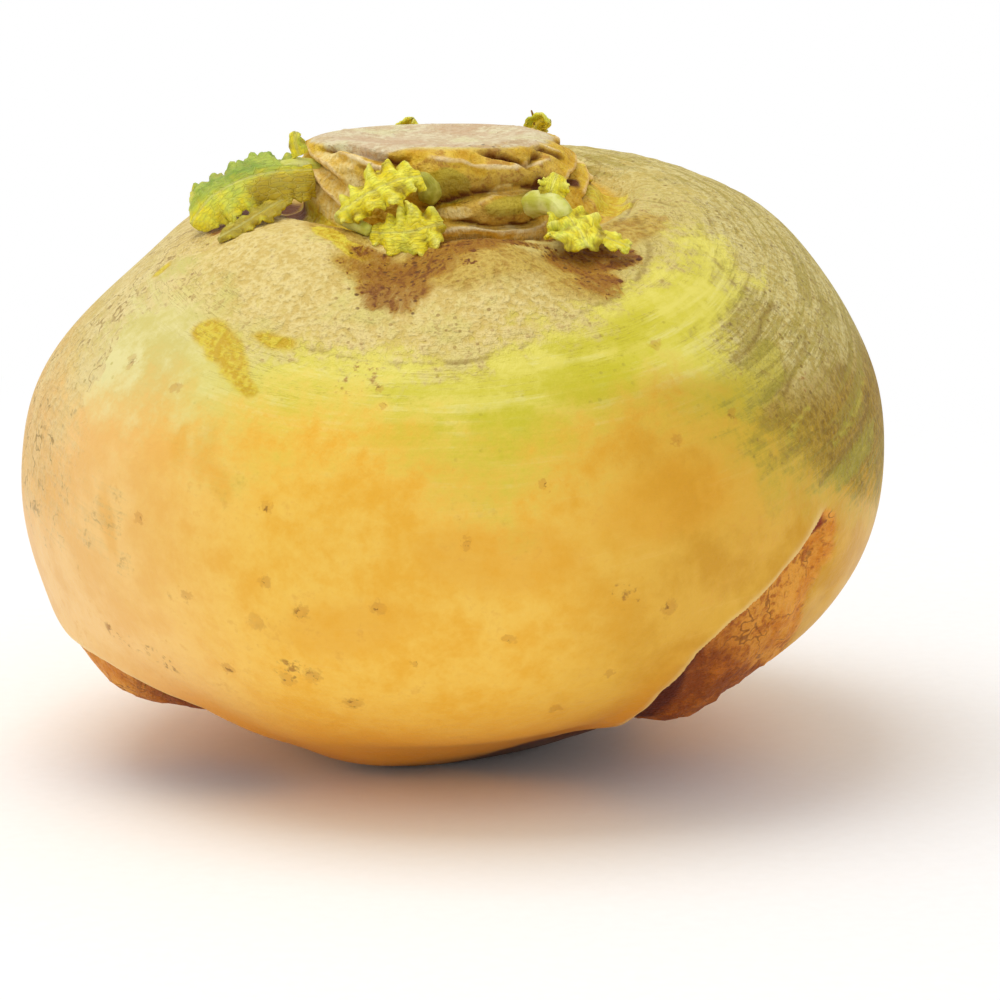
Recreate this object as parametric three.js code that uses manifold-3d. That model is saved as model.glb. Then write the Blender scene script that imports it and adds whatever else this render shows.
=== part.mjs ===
// Golden beet: a broad, flattened root about 120 mm across, with a ringed neck where its leaves were cut
// and a few young leaves sprouting from that neck.
// Millimetres, +X to the right, +Y to the back, +Z up. The origin is the middle of the base, on the surface
// that the root rests on.
import * as THREE from "three";
import Module from "manifold-3d";

const wasm = await Module();
wasm.setup();

const { degToRad, smoothstep } = THREE.MathUtils;

// ---- Driving dimensions -------------------------------------------------------------------------------

const SEGMENTS = 96; // facets round the root
const RINGS_PER_SPAN = 2; // rings between two points of the outline
const DEPTH_SHARE = 0.93; // the root is a little narrower from front to back
const REST_HEIGHT = 0; // all that would reach lower is flattened here, where the root rests
const WAIST_HEIGHT = 44; // height at which the root is widest
const NECK_FOOT = 75; // height at which the neck starts
const CROWN_HEIGHT = 85; // height of the cut crown
const NECK_LEAN = { left: 0.3, front: 0.1 }; // how far the neck leans over for each millimetre of its height
const SHOULDER_SLOPE = 0.1; // the shoulders rise this much for each millimetre to the back
const CROWN_SLOPE = -0.02; // and the cut crown this much

// Half the upright section of the root, as [radius, height], from the base to the middle of the crown.
const OUTLINE = [
  [0, -0.6],
  [11, -0.4],
  [21, 2.6],
  [32, 7.6],
  [42, 11.2],
  [50.5, 18.2],
  [56, 26.4],
  [58.9, 35],
  [59.3, 44],
  [57.4, 53],
  [53, 61.5],
  [46, 69],
  [38.5, 73.8],
  [31.5, 76.2],
  [26, 76.6],
  [22.8, 75],
  [20.8, 75.6],
  [20.1, 77.8],
  [19.4, 80],
  [18.4, 82.2],
  [17, 84.2],
  [14, 85.1],
  [7, 84.4],
  [0, 84.6],
];
const WIDEST = 8; // the outline's point at the equator, above which the skin faces up
const [FOOT_POINT, RIM_POINT] = [15, 20]; // the outline's points at the neck's foot and the crown's rim

// Swellings, and hollows where push is negative: centred on the skin at turn degrees round from the right
// (-90 is the front) and at that height, fading over spread, each pushing the skin out by push.
const LOBES = [
  { name: "right shoulder", turn: 25, height: 70, upper: true, spread: 18, push: 2 },
  { name: "left shoulder", turn: 172, height: 68, upper: true, spread: 20, push: -3.4 },
  { name: "shoulder behind the neck", turn: 60, height: 75, upper: true, spread: 16, push: 1.5 },
  { name: "lower left side", turn: 192, height: 16, upper: false, spread: 17, push: 3 },
  { name: "lower right side", turn: -8, height: 9, upper: false, spread: 15, push: -2.6 },
  { name: "front belly", turn: -100, height: 24, upper: false, spread: 26, push: 1.5 },
  { name: "chin", turn: -125, height: 2, upper: false, spread: 12, push: 1.2 },
  { name: "underside, left of the belly", turn: -150, height: 5, upper: false, spread: 15, push: -2 },
  { name: "underside, right of the belly", turn: -58, height: 4, upper: false, spread: 12, push: -0.5 },
  { name: "under the right furrow", turn: -40, height: 9.5, upper: false, spread: 8, push: 3 },
  { name: "under the left furrow", turn: -160, height: 14, upper: false, spread: 9, push: 1.1 },
  { name: "lower left of the belly", turn: -126, height: 6.5, upper: false, spread: 11, push: 2.8 },
  { name: "right of the resting spot", turn: -61, height: 2.4, upper: false, spread: 12, push: -0.5 },
  { name: "lower right of the belly", turn: -60, height: 9.5, upper: false, spread: 8, push: -1 },
  { name: "mound left of the neck", turn: -128, height: 74.5, upper: true, spread: 9, push: 1.6 },
  { name: "mound before the neck", turn: -82, height: 74, upper: true, spread: 7.5, push: 1.8 },
  { name: "hollow before the neck", turn: -102, height: 75.8, upper: true, spread: 6.5, push: -2.2 },
  { name: "hollow right of the neck", turn: -60, height: 75.6, upper: true, spread: 7.5, push: -2.6 },
];

// Furrows down the sides, from which the fine roots grew: the path is [turn, height] along the edge of the
// belly, which belly gives the side of. Beyond that edge the skin drops by depth, and rises to rest below
// its old level over the furrow's width.
const FURROWS = [
  {
    path: [
      [-33, 41],
      [-36.8, 37.9],
      [-41.3, 33.7],
      [-44.8, 30.4],
      [-49.7, 26.6],
      [-54, 23],
      [-56.6, 17.2],
      [-56.5, 13],
      [-57, 8],
      [-60, 4],
    ],
    depth: 2.4,
    rest: 0.9,
    width: 15,
    lip: 0.7,
    belly: -1,
  },
  {
    path: [
      [-172, 24],
      [-164, 21.6],
      [-158, 20],
      [-151.5, 18.4],
      [-147, 16.4],
      [-143, 14.4],
      [-137, 13],
      [-131, 10],
      [-127, 6],
    ],
    depth: 1.4,
    rest: 0.2,
    width: 11,
    lip: 0.5,
    belly: 1,
  },
];
const FURROW_WALL = 1.6; // half the width of the drop at the belly's edge
const FURROW_ENDS = { fadedIn: 0.2, fadesFrom: 0.85 }; // shares of the path between which it is whole
const LIP_SETBACK = 2.6; // from the middle of that drop to the belly's raised lip
const FLOOR_SHARES = { risesFrom: 0.25, endsAt: 1.8 }; // of the furrow's width, where its floor changes

// Scars of the cut leaves, winding up the neck by the golden angle. Each is a crescent with a raised lip.
// The lip fades over spread, and the notch beneath the next lip is notch times as deep.
const SCARS = {
  count: 9,
  firstTurn: -95,
  foot: 76.6,
  climb: 0.85,
  halfSpan: 80,
  sweep: 3,
  lip: 0.9,
  spread: 0.7,
  notch: 0.8,
};
const GOLDEN_ANGLE = 137.5;

// Young leaves and their stalks, which sprout from the neck. line is the middle of each, from its base to its
// tip. A stalk has a radius at each point of its line. A leaf has half a width there instead, up is the way
// its upper face looks, arch is how far its edges hang below its middle, and frill how deep they are waved.
const GAP = 0.3; // between a sprout's pieces and what they grow on
const STALKS = [
  {
    name: "left_sprout_stalk",
    line: [[-18, -7.5, 81.3], [-20.5, -8.6, 82], [-23, -9.6, 82.2]],
    radii: [1.5, 1.4, 1.1],
  },
  {
    name: "middle_sprout_stalk",
    line: [[-3, -16, 79.3], [-2.9, -19.2, 80], [-4, -20.6, 82]],
    radii: [1.9, 1.9, 0.9],
  },
  {
    name: "middle_sprout_side_stalk",
    line: [[-14.6, -16.5, 76], [-13.2, -20, 75.8], [-10.6, -22.8, 75]],
    radii: [1, 1, 0.8],
  },
  {
    name: "right_sprout_stalk",
    line: [[9.4, -14, 76.4], [11, -17.6, 77.6], [13, -19, 78.2], [14.4, -19.8, 77.4]],
    radii: [1.9, 2, 1.4, 1.1],
  },
  {
    name: "back_right_sprout_stalk",
    line: [[9.2, 13, 78.6], [10.4, 14.8, 80.8], [10.9, 15, 82.6]],
    radii: [1.5, 1.5, 1.1],
  },
];
const LEAVES = [
  {
    name: "left_sprout_leaf",
    line: [[-22.6, -9.6, 82.4], [-25.4, -10.6, 81.6], [-29, -11.6, 79.6], [-32, -12, 77], [-34.2, -12, 74.4]],
    up: [-0.35, -0.45, 0.8],
    halfWidths: [1.6, 3.4, 4.2, 3.8, 1.6],
    arch: 1.8,
    frill: 0.4,
  },
  {
    name: "left_sprout_under_leaf",
    line: [[-22, -13, 78], [-24.6, -15.2, 76.8], [-27.6, -17.4, 75.1], [-30.6, -19, 73.6]],
    up: [-0.2, -0.5, 0.8],
    halfWidths: [1.2, 1.9, 1.7, 0.8],
    arch: 0.4,
    frill: 0.3,
  },
  {
    name: "left_sprout_tip_leaf",
    line: [[-20.4, -9.3, 83.5], [-20.8, -9, 84.6], [-21, -8.4, 86.2]],
    up: [-0.3, -1, 0],
    halfWidths: [1.1, 1.2, 0.5],
    arch: 0.4,
    frill: 0.1,
  },
  {
    name: "middle_sprout_upper_leaf",
    line: [
      [-4.2, -21.4, 81.8],
      [-7, -22.2, 81.6],
      [-10.4, -22.4, 80.1],
      [-13.2, -21.8, 78.2],
      [-15, -21, 76.8],
    ],
    up: [-0.2, -0.75, 0.6],
    halfWidths: [1.6, 2.8, 3, 2.4, 1],
    arch: 1,
    frill: 0.6,
  },
  {
    name: "middle_sprout_lower_leaf",
    line: [[-10, -23.4, 74.9], [-7.4, -24.8, 75], [-4.6, -25.2, 75.4], [-1, -24.2, 76.3]],
    up: [0.1, -0.85, 0.5],
    halfWidths: [1.6, 3, 3.6, 2.2],
    arch: 0.6,
    frill: 0.7,
  },
  {
    name: "right_sprout_upper_leaf",
    line: [[13, -19.8, 79.2], [13.3, -19.6, 80.4], [13.9, -18.6, 81.9]],
    up: [-0.1, -1, 0.3],
    halfWidths: [1.2, 2, 1.3],
    arch: 0.3,
    frill: 0.2,
  },
  {
    name: "right_sprout_leaf",
    line: [[14.6, -20.6, 77.2], [15.8, -22, 76.2], [17, -24, 74.8], [17.8, -26.2, 73.4]],
    up: [0.2, -0.6, 0.75],
    halfWidths: [1.8, 3.8, 4, 2.2],
    arch: 0.8,
    frill: 0.7,
  },
  {
    name: "right_sprout_tip_leaf",
    line: [[20.6, -25, 74.3], [21.9, -25.4, 73.8], [23.4, -25.6, 73.3]],
    up: [0.2, -0.6, 0.75],
    halfWidths: [1, 1.5, 1],
    arch: 0.3,
    frill: 0.3,
  },
  {
    name: "back_left_sprout_leaf",
    line: [[-6.4, 20.8, 79], [-6.6, 21.4, 81.4], [-6.4, 21, 83.6], [-5.8, 19.8, 85]],
    up: [-0.1, 1, 0.2],
    halfWidths: [1, 1.8, 2, 1],
    arch: 0.8,
    frill: 0.3,
  },
  {
    name: "back_right_sprout_leaf",
    line: [[11, 15.3, 83.2], [11.3, 15.4, 84.2], [12, 15.2, 85.1], [13.4, 14.4, 85.2]],
    up: [0.1, 0.9, 0.5],
    halfWidths: [1, 1.6, 1.6, 0.7],
    arch: 0.6,
    frill: 0.3,
  },
];
const LEAF_THICKNESS = 0.9;
const LEAF_STEPS = 10;
const LEAF_COLUMNS = 6;
const FRILL_WAVES = 3.5; // waves along each edge of a leaf
const FRILL_REACH = 0.3; // how much each millimetre of frill also waves the edge outwards, as a share
const EDGE_THINNING = 0.4; // the share of its thickness that a leaf loses at its edges
const STALK_STEPS = 6;
const STALK_SIDES = 8;

// ---- Root ---------------------------------------------------------------------------------------------

const outline = new THREE.CatmullRomCurve3(
  OUTLINE.map(([radius, height]) => new THREE.Vector3(radius, 0, height)),
  false,
  "centripetal",
);

// The skin's point and outward direction before lobes, at share 0 (base) to 1 (crown) of the outline.
function skinAt(share, turn) {
  const point = outline.getPoint(share);
  const along = outline.getTangent(share);
  const around = degToRad(turn);
  return {
    point: new THREE.Vector3(
      point.x * Math.cos(around),
      point.x * Math.sin(around) * DEPTH_SHARE,
      point.z,
    ),
    out: new THREE.Vector3(
      along.z * Math.cos(around),
      along.z * Math.sin(around),
      -along.x,
    ).normalize(),
  };
}

// The share of the outline that has a height, on the root's lower or upper half.
function shareAtHeight(height, upper) {
  const last = OUTLINE.length - 1;
  const [from, to] = upper ? [WIDEST, FOOT_POINT - 1] : [0, WIDEST];
  for (let i = from; i < to; i++) {
    const [low, high] = [OUTLINE[i][1], OUTLINE[i + 1][1]];
    if (height >= low && height <= high) return (i + (height - low) / (high - low)) / last;
  }
  throw new Error(`the outline has no height ${height}`);
}

const lobes = LOBES.map((lobe) => ({
  ...lobe,
  centre: skinAt(shareAtHeight(lobe.height, lobe.upper), lobe.turn).point,
}));

const furrows = FURROWS.map((furrow) => ({
  ...furrow,
  line: furrow.path.map(([turn, height]) => skinAt(shareAtHeight(height, false), turn).point),
}));

const bell = (distance, width) => Math.exp(-((distance / width) ** 2));

function lobeRelief(point) {
  let relief = 0;
  for (const { centre, spread, push } of lobes) relief += push * bell(point.distanceTo(centre), spread);
  return relief;
}

// How far a furrow moves the skin. Across it, the belly ends in a lip and a steep drop to the floor.
function furrowRelief(point, out, furrow) {
  let nearest = { distance: Infinity };
  const segment = new THREE.Line3();
  const foot = new THREE.Vector3();
  const spans = furrow.line.length - 1;
  for (let i = 0; i < spans; i++) {
    segment.set(furrow.line[i], furrow.line[i + 1]);
    const along = segment.closestPointToPointParameter(point, true);
    segment.at(along, foot);
    const distance = foot.distanceTo(point);
    if (distance < nearest.distance) {
      const across = segment.delta(new THREE.Vector3()).cross(out).multiplyScalar(furrow.belly);
      const side = Math.sign(across.dot(point.clone().sub(foot)));
      nearest = { distance, side, share: (i + along) / spans };
    }
  }
  const past = nearest.distance * nearest.side;
  const fadeIn = smoothstep(nearest.share, 0, FURROW_ENDS.fadedIn);
  const fade = fadeIn * (1 - smoothstep(nearest.share, FURROW_ENDS.fadesFrom, 1));
  const rise = smoothstep(past, FLOOR_SHARES.risesFrom * furrow.width, furrow.width);
  const end = 1 - smoothstep(past, furrow.width, FLOOR_SHARES.endsAt * furrow.width);
  const sunk = THREE.MathUtils.lerp(furrow.depth, furrow.rest, rise) * end;
  const lip = furrow.lip * bell(past + LIP_SETBACK, FURROW_WALL);
  return fade * (lip - sunk * smoothstep(past, -FURROW_WALL, FURROW_WALL));
}

// The raised lips of the leaf scars, on the neck only.
function scarRelief(turn, height) {
  let relief = 0;
  for (let i = 0; i < SCARS.count; i++) {
    const middle = SCARS.firstTurn + i * GOLDEN_ANGLE;
    const off = (((turn - middle) % 360) + 540) % 360 - 180;
    const reach = Math.abs(off) / SCARS.halfSpan;
    if (reach >= 1) continue;
    const above = height - (SCARS.foot + i * SCARS.climb + SCARS.sweep * reach ** 2);
    const { lip, spread, notch } = SCARS;
    relief += lip * (1 - reach ** 2) * (bell(above, spread) - notch * bell(above - 2 * spread, spread));
  }
  return relief;
}

// The whole root as one closed body. grow moves its skin outwards, for cutting what grows on it.
function rootGeometry(grow = 0) {
  const rings = (OUTLINE.length - 1) * RINGS_PER_SPAN;
  const positions = [];
  const place = (share, turn) => {
    const { point, out } = skinAt(share, turn);
    let relief = lobeRelief(point);
    for (const furrow of furrows) relief += furrowRelief(point, out, furrow);
    const neck = smoothstep(share * (OUTLINE.length - 1), FOOT_POINT, FOOT_POINT + 1);
    const side = 1 - smoothstep(share * (OUTLINE.length - 1), RIM_POINT, RIM_POINT + 1);
    relief += scarRelief(turn, point.z) * neck * side;
    point.addScaledVector(out, relief + grow);
    const overFoot = Math.max(point.z - NECK_FOOT, 0) * neck;
    const onNeck = smoothstep(point.z, NECK_FOOT, CROWN_HEIGHT) * neck;
    const slope = smoothstep(point.z, WAIST_HEIGHT, NECK_FOOT) * SHOULDER_SLOPE;
    positions.push(
      point.x - NECK_LEAN.left * overFoot,
      point.y - NECK_LEAN.front * overFoot,
      Math.max(point.z + (slope + (CROWN_SLOPE - slope) * onNeck) * point.y, REST_HEIGHT - grow),
    );
  };
  place(0, 0);
  for (let ring = 1; ring < rings; ring++)
    for (let i = 0; i < SEGMENTS; i++) place(ring / rings, (i * 360) / SEGMENTS);
  place(1, 0);

  const index = [];
  const corner = (ring, i) => 1 + (ring - 1) * SEGMENTS + (i % SEGMENTS);
  const top = 1 + (rings - 1) * SEGMENTS;
  for (let i = 0; i < SEGMENTS; i++) {
    index.push(0, corner(1, i + 1), corner(1, i));
    for (let ring = 1; ring < rings - 1; ring++) {
      const [a, b] = [corner(ring, i), corner(ring, i + 1)];
      const [c, d] = [corner(ring + 1, i + 1), corner(ring + 1, i)];
      index.push(a, b, c, a, c, d);
    }
    index.push(corner(rings - 1, i), corner(rings - 1, i + 1), top);
  }
  const geometry = new THREE.BufferGeometry();
  geometry.setAttribute("position", new THREE.Float32BufferAttribute(positions, 3));
  geometry.setIndex(index);
  return geometry;
}

// ---- Sprouts ------------------------------------------------------------------------------------------

const curveThrough = (points) =>
  new THREE.CatmullRomCurve3(points.map((point) => new THREE.Vector3(...point)), false, "centripetal");

// A value given at each point of a line, read at share 0 to 1 of it.
function valueAt(values, share) {
  const at = share * (values.length - 1);
  const from = Math.min(Math.floor(at), values.length - 2);
  return THREE.MathUtils.lerp(values[from], values[from + 1], smoothstep(at - from, 0, 1));
}

function solidFrom(positions, index) {
  return new wasm.Manifold(
    new wasm.Mesh({
      numProp: 3,
      vertProperties: new Float32Array(positions),
      triVerts: new Uint32Array(index),
    }),
  );
}

// A tapered round stalk, closed by a flat cap at either end.
function stalkSolid({ line, radii }, grow = 0) {
  const curve = curveThrough(line);
  const frames = curve.computeFrenetFrames(STALK_STEPS);
  const positions = [];
  for (let step = 0; step <= STALK_STEPS; step++) {
    const centre = curve.getPointAt(step / STALK_STEPS);
    centre.addScaledVector(frames.tangents[step], grow * ((2 * step) / STALK_STEPS - 1));
    const radius = valueAt(radii, step / STALK_STEPS) + grow;
    for (let i = 0; i < STALK_SIDES; i++) {
      const around = (i * 2 * Math.PI) / STALK_SIDES;
      const corner = centre
        .clone()
        .addScaledVector(frames.normals[step], radius * Math.cos(around))
        .addScaledVector(frames.binormals[step], radius * Math.sin(around));
      positions.push(...corner);
    }
  }
  const index = [];
  const corner = (step, i) => step * STALK_SIDES + (i % STALK_SIDES);
  for (let i = 0; i < STALK_SIDES; i++)
    for (let step = 0; step < STALK_STEPS; step++) {
      const [a, b] = [corner(step, i), corner(step, i + 1)];
      const [c, d] = [corner(step + 1, i + 1), corner(step + 1, i)];
      index.push(a, b, c, a, c, d);
    }
  for (let i = 1; i < STALK_SIDES - 1; i++) {
    index.push(corner(0, 0), corner(0, i + 1), corner(0, i));
    index.push(corner(STALK_STEPS, 0), corner(STALK_STEPS, i), corner(STALK_STEPS, i + 1));
  }
  return solidFrom(positions, index);
}

// A leaf's blade: an upper and a lower face, joined all round the edge.
function leafSolid({ line, up, halfWidths, arch, frill }, grow = 0) {
  const curve = curveThrough(line);
  const face = new THREE.Vector3(...up);
  const positions = [];
  for (let step = 0; step <= LEAF_STEPS; step++) {
    const share = step / LEAF_STEPS;
    const centre = curve.getPointAt(share);
    const along = curve.getTangentAt(share);
    const side = along.clone().cross(face).normalize();
    const out = side.clone().cross(along).normalize();
    centre.addScaledVector(along, grow * (2 * share - 1));
    for (const [layer, lift] of [LEAF_THICKNESS / 2 + grow, -LEAF_THICKNESS / 2 - grow].entries())
      for (let column = 0; column <= LEAF_COLUMNS; column++) {
        const across = (2 * column) / LEAF_COLUMNS - 1;
        const wave = Math.cos(share * FRILL_WAVES * 2 * Math.PI + (across > 0 ? 1 : 0));
        const reach = (valueAt(halfWidths, share) + grow) * across * (1 + FRILL_REACH * frill * wave);
        const thick = lift * (1 - EDGE_THINNING * across ** 2);
        const height = (frill * wave - arch) * across ** 2 + thick;
        positions.push(...centre.clone().addScaledVector(side, reach).addScaledVector(out, height));
      }
  }
  const index = [];
  const row = 2 * (LEAF_COLUMNS + 1);
  const [top, under] = [0, LEAF_COLUMNS + 1];
  const [foot, tip] = [0, LEAF_STEPS * row];
  const quad = (a, b, c, d) => index.push(a, b, c, a, c, d);
  for (let from = foot; from < tip; from += row) {
    const next = from + row;
    for (let column = 0; column < LEAF_COLUMNS; column++) {
      const [a, b] = [top + column, under + column];
      quad(from + a, from + a + 1, next + a + 1, next + a);
      quad(from + b, next + b, next + b + 1, from + b + 1);
    }
    const [a, b] = [top + LEAF_COLUMNS, under + LEAF_COLUMNS];
    quad(from + top, next + top, next + under, from + under);
    quad(from + a, from + b, next + b, next + a);
  }
  for (let column = 0; column < LEAF_COLUMNS; column++) {
    const [a, b] = [top + column, under + column];
    quad(foot + a, foot + b, foot + b + 1, foot + a + 1);
    quad(tip + a, tip + a + 1, tip + b + 1, tip + b);
  }
  return solidFrom(positions, index);
}

// The largest body that is left of a solid, as a geometry.
function largestBody(solid) {
  const bodies = solid.decompose().sort((a, b) => b.volume() - a.volume());
  const { vertProperties, triVerts } = bodies[0].getMesh();
  const geometry = new THREE.BufferGeometry();
  geometry.setAttribute("position", new THREE.BufferAttribute(vertProperties, 3));
  geometry.setIndex(new THREE.BufferAttribute(triVerts, 1));
  return geometry;
}

// ---- The beet -----------------------------------------------------------------------------------------

const colours = {
  skin: new THREE.MeshStandardMaterial({ color: "#e2b04c", roughness: 0.6, metalness: 0 }),
  stalk: new THREE.MeshStandardMaterial({ color: "#b9c964", roughness: 0.5, metalness: 0 }),
  leaf: new THREE.MeshStandardMaterial({ color: "#cfc92b", roughness: 0.6, metalness: 0 }),
};

const beet = new THREE.Group();
const add = (name, geometry, material) => {
  const mesh = new THREE.Mesh(geometry, material);
  mesh.name = name;
  beet.add(mesh);
};

const rootBody = rootGeometry();
add("root", rootBody, colours.skin);

const rootWithGap = rootGeometry(GAP);
let taken = solidFrom(rootWithGap.getAttribute("position").array, rootWithGap.getIndex().array);
for (const [pieces, solidOf, material] of [
  [STALKS, stalkSolid, colours.stalk],
  [LEAVES, leafSolid, colours.leaf],
])
  for (const piece of pieces) {
    add(piece.name, largestBody(solidOf(piece).subtract(taken)), material);
    taken = taken.add(solidOf(piece, GAP));
  }

// The origin is the middle of the whole beet's box, at its base.
const box = new THREE.Box3().setFromObject(beet);
const middle = box.getCenter(new THREE.Vector3());
beet.position.set(-middle.x, -middle.y, -box.min.z);

export default beet;
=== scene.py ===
import math

import bpy
import numpy as np
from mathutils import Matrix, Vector, noise


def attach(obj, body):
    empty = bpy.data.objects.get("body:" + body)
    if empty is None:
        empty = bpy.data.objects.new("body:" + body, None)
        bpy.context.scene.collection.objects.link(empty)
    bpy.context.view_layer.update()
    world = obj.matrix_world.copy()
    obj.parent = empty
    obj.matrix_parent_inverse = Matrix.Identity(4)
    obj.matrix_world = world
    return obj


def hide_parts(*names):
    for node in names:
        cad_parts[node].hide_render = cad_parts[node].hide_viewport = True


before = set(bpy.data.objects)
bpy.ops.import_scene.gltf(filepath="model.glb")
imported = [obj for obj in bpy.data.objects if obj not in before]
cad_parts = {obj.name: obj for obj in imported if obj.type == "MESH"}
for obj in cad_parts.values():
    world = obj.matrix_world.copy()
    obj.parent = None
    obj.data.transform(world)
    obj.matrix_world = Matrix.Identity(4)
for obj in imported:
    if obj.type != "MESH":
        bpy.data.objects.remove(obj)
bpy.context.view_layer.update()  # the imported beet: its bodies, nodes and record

mm = 0.001
scene = bpy.context.scene


# Helpers for modelling

def selectNone():
    if bpy.context.mode != "OBJECT":
        bpy.ops.object.mode_set(mode="OBJECT")
    bpy.ops.object.select_all(action="DESELECT")


def workOn(piece):
    selectNone()
    piece.select_set(True)
    bpy.context.view_layer.objects.active = piece


def editing(piece, selectFaces=None):
    # opens edit mode with every face selected, or only those that the test picks by their middle
    workOn(piece)
    mesh = piece.data
    picked = np.ones(len(mesh.polygons), bool)
    if selectFaces:
        middles = np.zeros(len(mesh.polygons) * 3)
        mesh.polygons.foreach_get("center", middles)
        picked = selectFaces(middles.reshape(-1, 3))
    bpy.ops.object.mode_set(mode="EDIT")
    bpy.ops.mesh.select_mode(type="FACE")
    bpy.ops.mesh.select_all(action="DESELECT")
    bpy.ops.object.mode_set(mode="OBJECT")
    mesh.polygons.foreach_set("select", picked)
    bpy.ops.object.mode_set(mode="EDIT")


def pointsOf(piece):
    points = np.zeros(len(piece.data.vertices) * 3)
    piece.data.vertices.foreach_get("co", points)
    return points.reshape(-1, 3)


def movePoints(piece, points):
    piece.data.vertices.foreach_set("co", np.ascontiguousarray(points, np.float32).ravel())
    piece.data.update()


def paint(piece, name, *columns):
    # stores a number or a vector at each point, for the materials
    kind, key = ("FLOAT", "value") if len(columns) == 1 else ("FLOAT_VECTOR", "vector")
    attribute = piece.data.attributes.new(name, kind, "POINT")
    attribute.data.foreach_set(key, np.stack(columns, -1).astype(np.float32).ravel())


def faceOutwards(piece):
    editing(piece)
    bpy.ops.mesh.normals_make_consistent(inside=False)
    bpy.ops.object.mode_set(mode="OBJECT")


def addModifier(piece, kind, **settings):
    workOn(piece)
    modifier = piece.modifiers.new(kind.lower(), kind)
    for key, value in settings.items():
        setattr(modifier, key, value)
    bpy.ops.object.modifier_apply(modifier=modifier.name)


def finishPiece(piece, name, material, nodes):
    piece.name = name
    piece.data.name = name
    piece.data.materials.clear()
    piece.data.materials.append(material)
    workOn(piece)
    bpy.ops.object.shade_smooth()
    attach(piece, "root")
    if nodes:
        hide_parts(*nodes)


def smooth(value, low, high):
    share = np.clip((value - low) / (high - low), 0, 1)
    return share * share * (3 - 2 * share)


def bell(distance, width):
    return np.exp(-((distance / width) ** 2))


def cloudy(points, size, seed=0):
    # smooth noise from about -1 to 1, with lumps of that size in mm
    shift = Vector((seed * 7.3, seed * 3.1, seed * 5.7))
    return np.array([noise.noise(Vector(p) + shift) for p in points / size])


# Helpers for materials

def colour(code):
    # a hex code as linear light, with alpha
    channels = [int(code[i:i + 2], 16) / 255 for i in (0, 2, 4)]
    return [c / 12.92 if c <= 0.04045 else ((c + 0.055) / 1.055) ** 2.4 for c in channels] + [1]


class Value:
    # a socket whose maths is written as Python: each operator adds a Math node
    def __init__(self, nodes, socket):
        self.nodes = nodes
        self.socket = socket

    def math(self, operation, *values):
        return self.nodes.node("ShaderNodeMath", {"operation": operation}, values)

    def __add__(self, other):
        return self.math("ADD", self, other)

    def __radd__(self, other):
        return self.math("ADD", other, self)

    def __sub__(self, other):
        return self.math("SUBTRACT", self, other)

    def __rsub__(self, other):
        return self.math("SUBTRACT", other, self)

    def __mul__(self, other):
        return self.math("MULTIPLY", self, other)

    def __rmul__(self, other):
        return self.math("MULTIPLY", other, self)

    def larger(self, other):
        return self.math("MAXIMUM", self, other)

    def steps(self, low, high):
        # 0 below low, 1 above high, and a soft step between; low may be the larger
        if low > high:
            return 1 - self.steps(high, low)
        settings = {"interpolation_type": "SMOOTHSTEP", "clamp": True}
        return self.nodes.node("ShaderNodeMapRange", settings, [self, low, high, 0, 1])

    def lineAtZero(self, wide, narrow):
        # a line where the value passes 0, which fades between those distances from it
        return self.math("ABSOLUTE", self).steps(wide, narrow)

    def torn(self, rough, low, high):
        # a mask with a ragged edge, which stays inside the mask
        return (self + rough).steps(low, high) * self.steps(0.02, 0.3)


class Nodes:
    # makes the nodes of one tree
    def __init__(self, tree):
        self.tree = tree

    def node(self, kind, settings=None, inputs=(), output=0):
        # settings are set first, and then the sockets' links, colour codes or numbers
        made = self.tree.nodes.new(kind)
        for key, value in (settings or {}).items():
            setattr(made, key, value)
        for key, value in inputs.items() if isinstance(inputs, dict) else enumerate(inputs):
            if isinstance(value, Value):
                self.tree.links.new(value.socket, made.inputs[key])
            else:
                made.inputs[key].default_value = colour(value) if isinstance(value, str) else value
        return Value(self, made.outputs[output])

    def ray(self, kind):
        return self.node("ShaderNodeLightPath", output="Is " + kind + " Ray")


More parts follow.
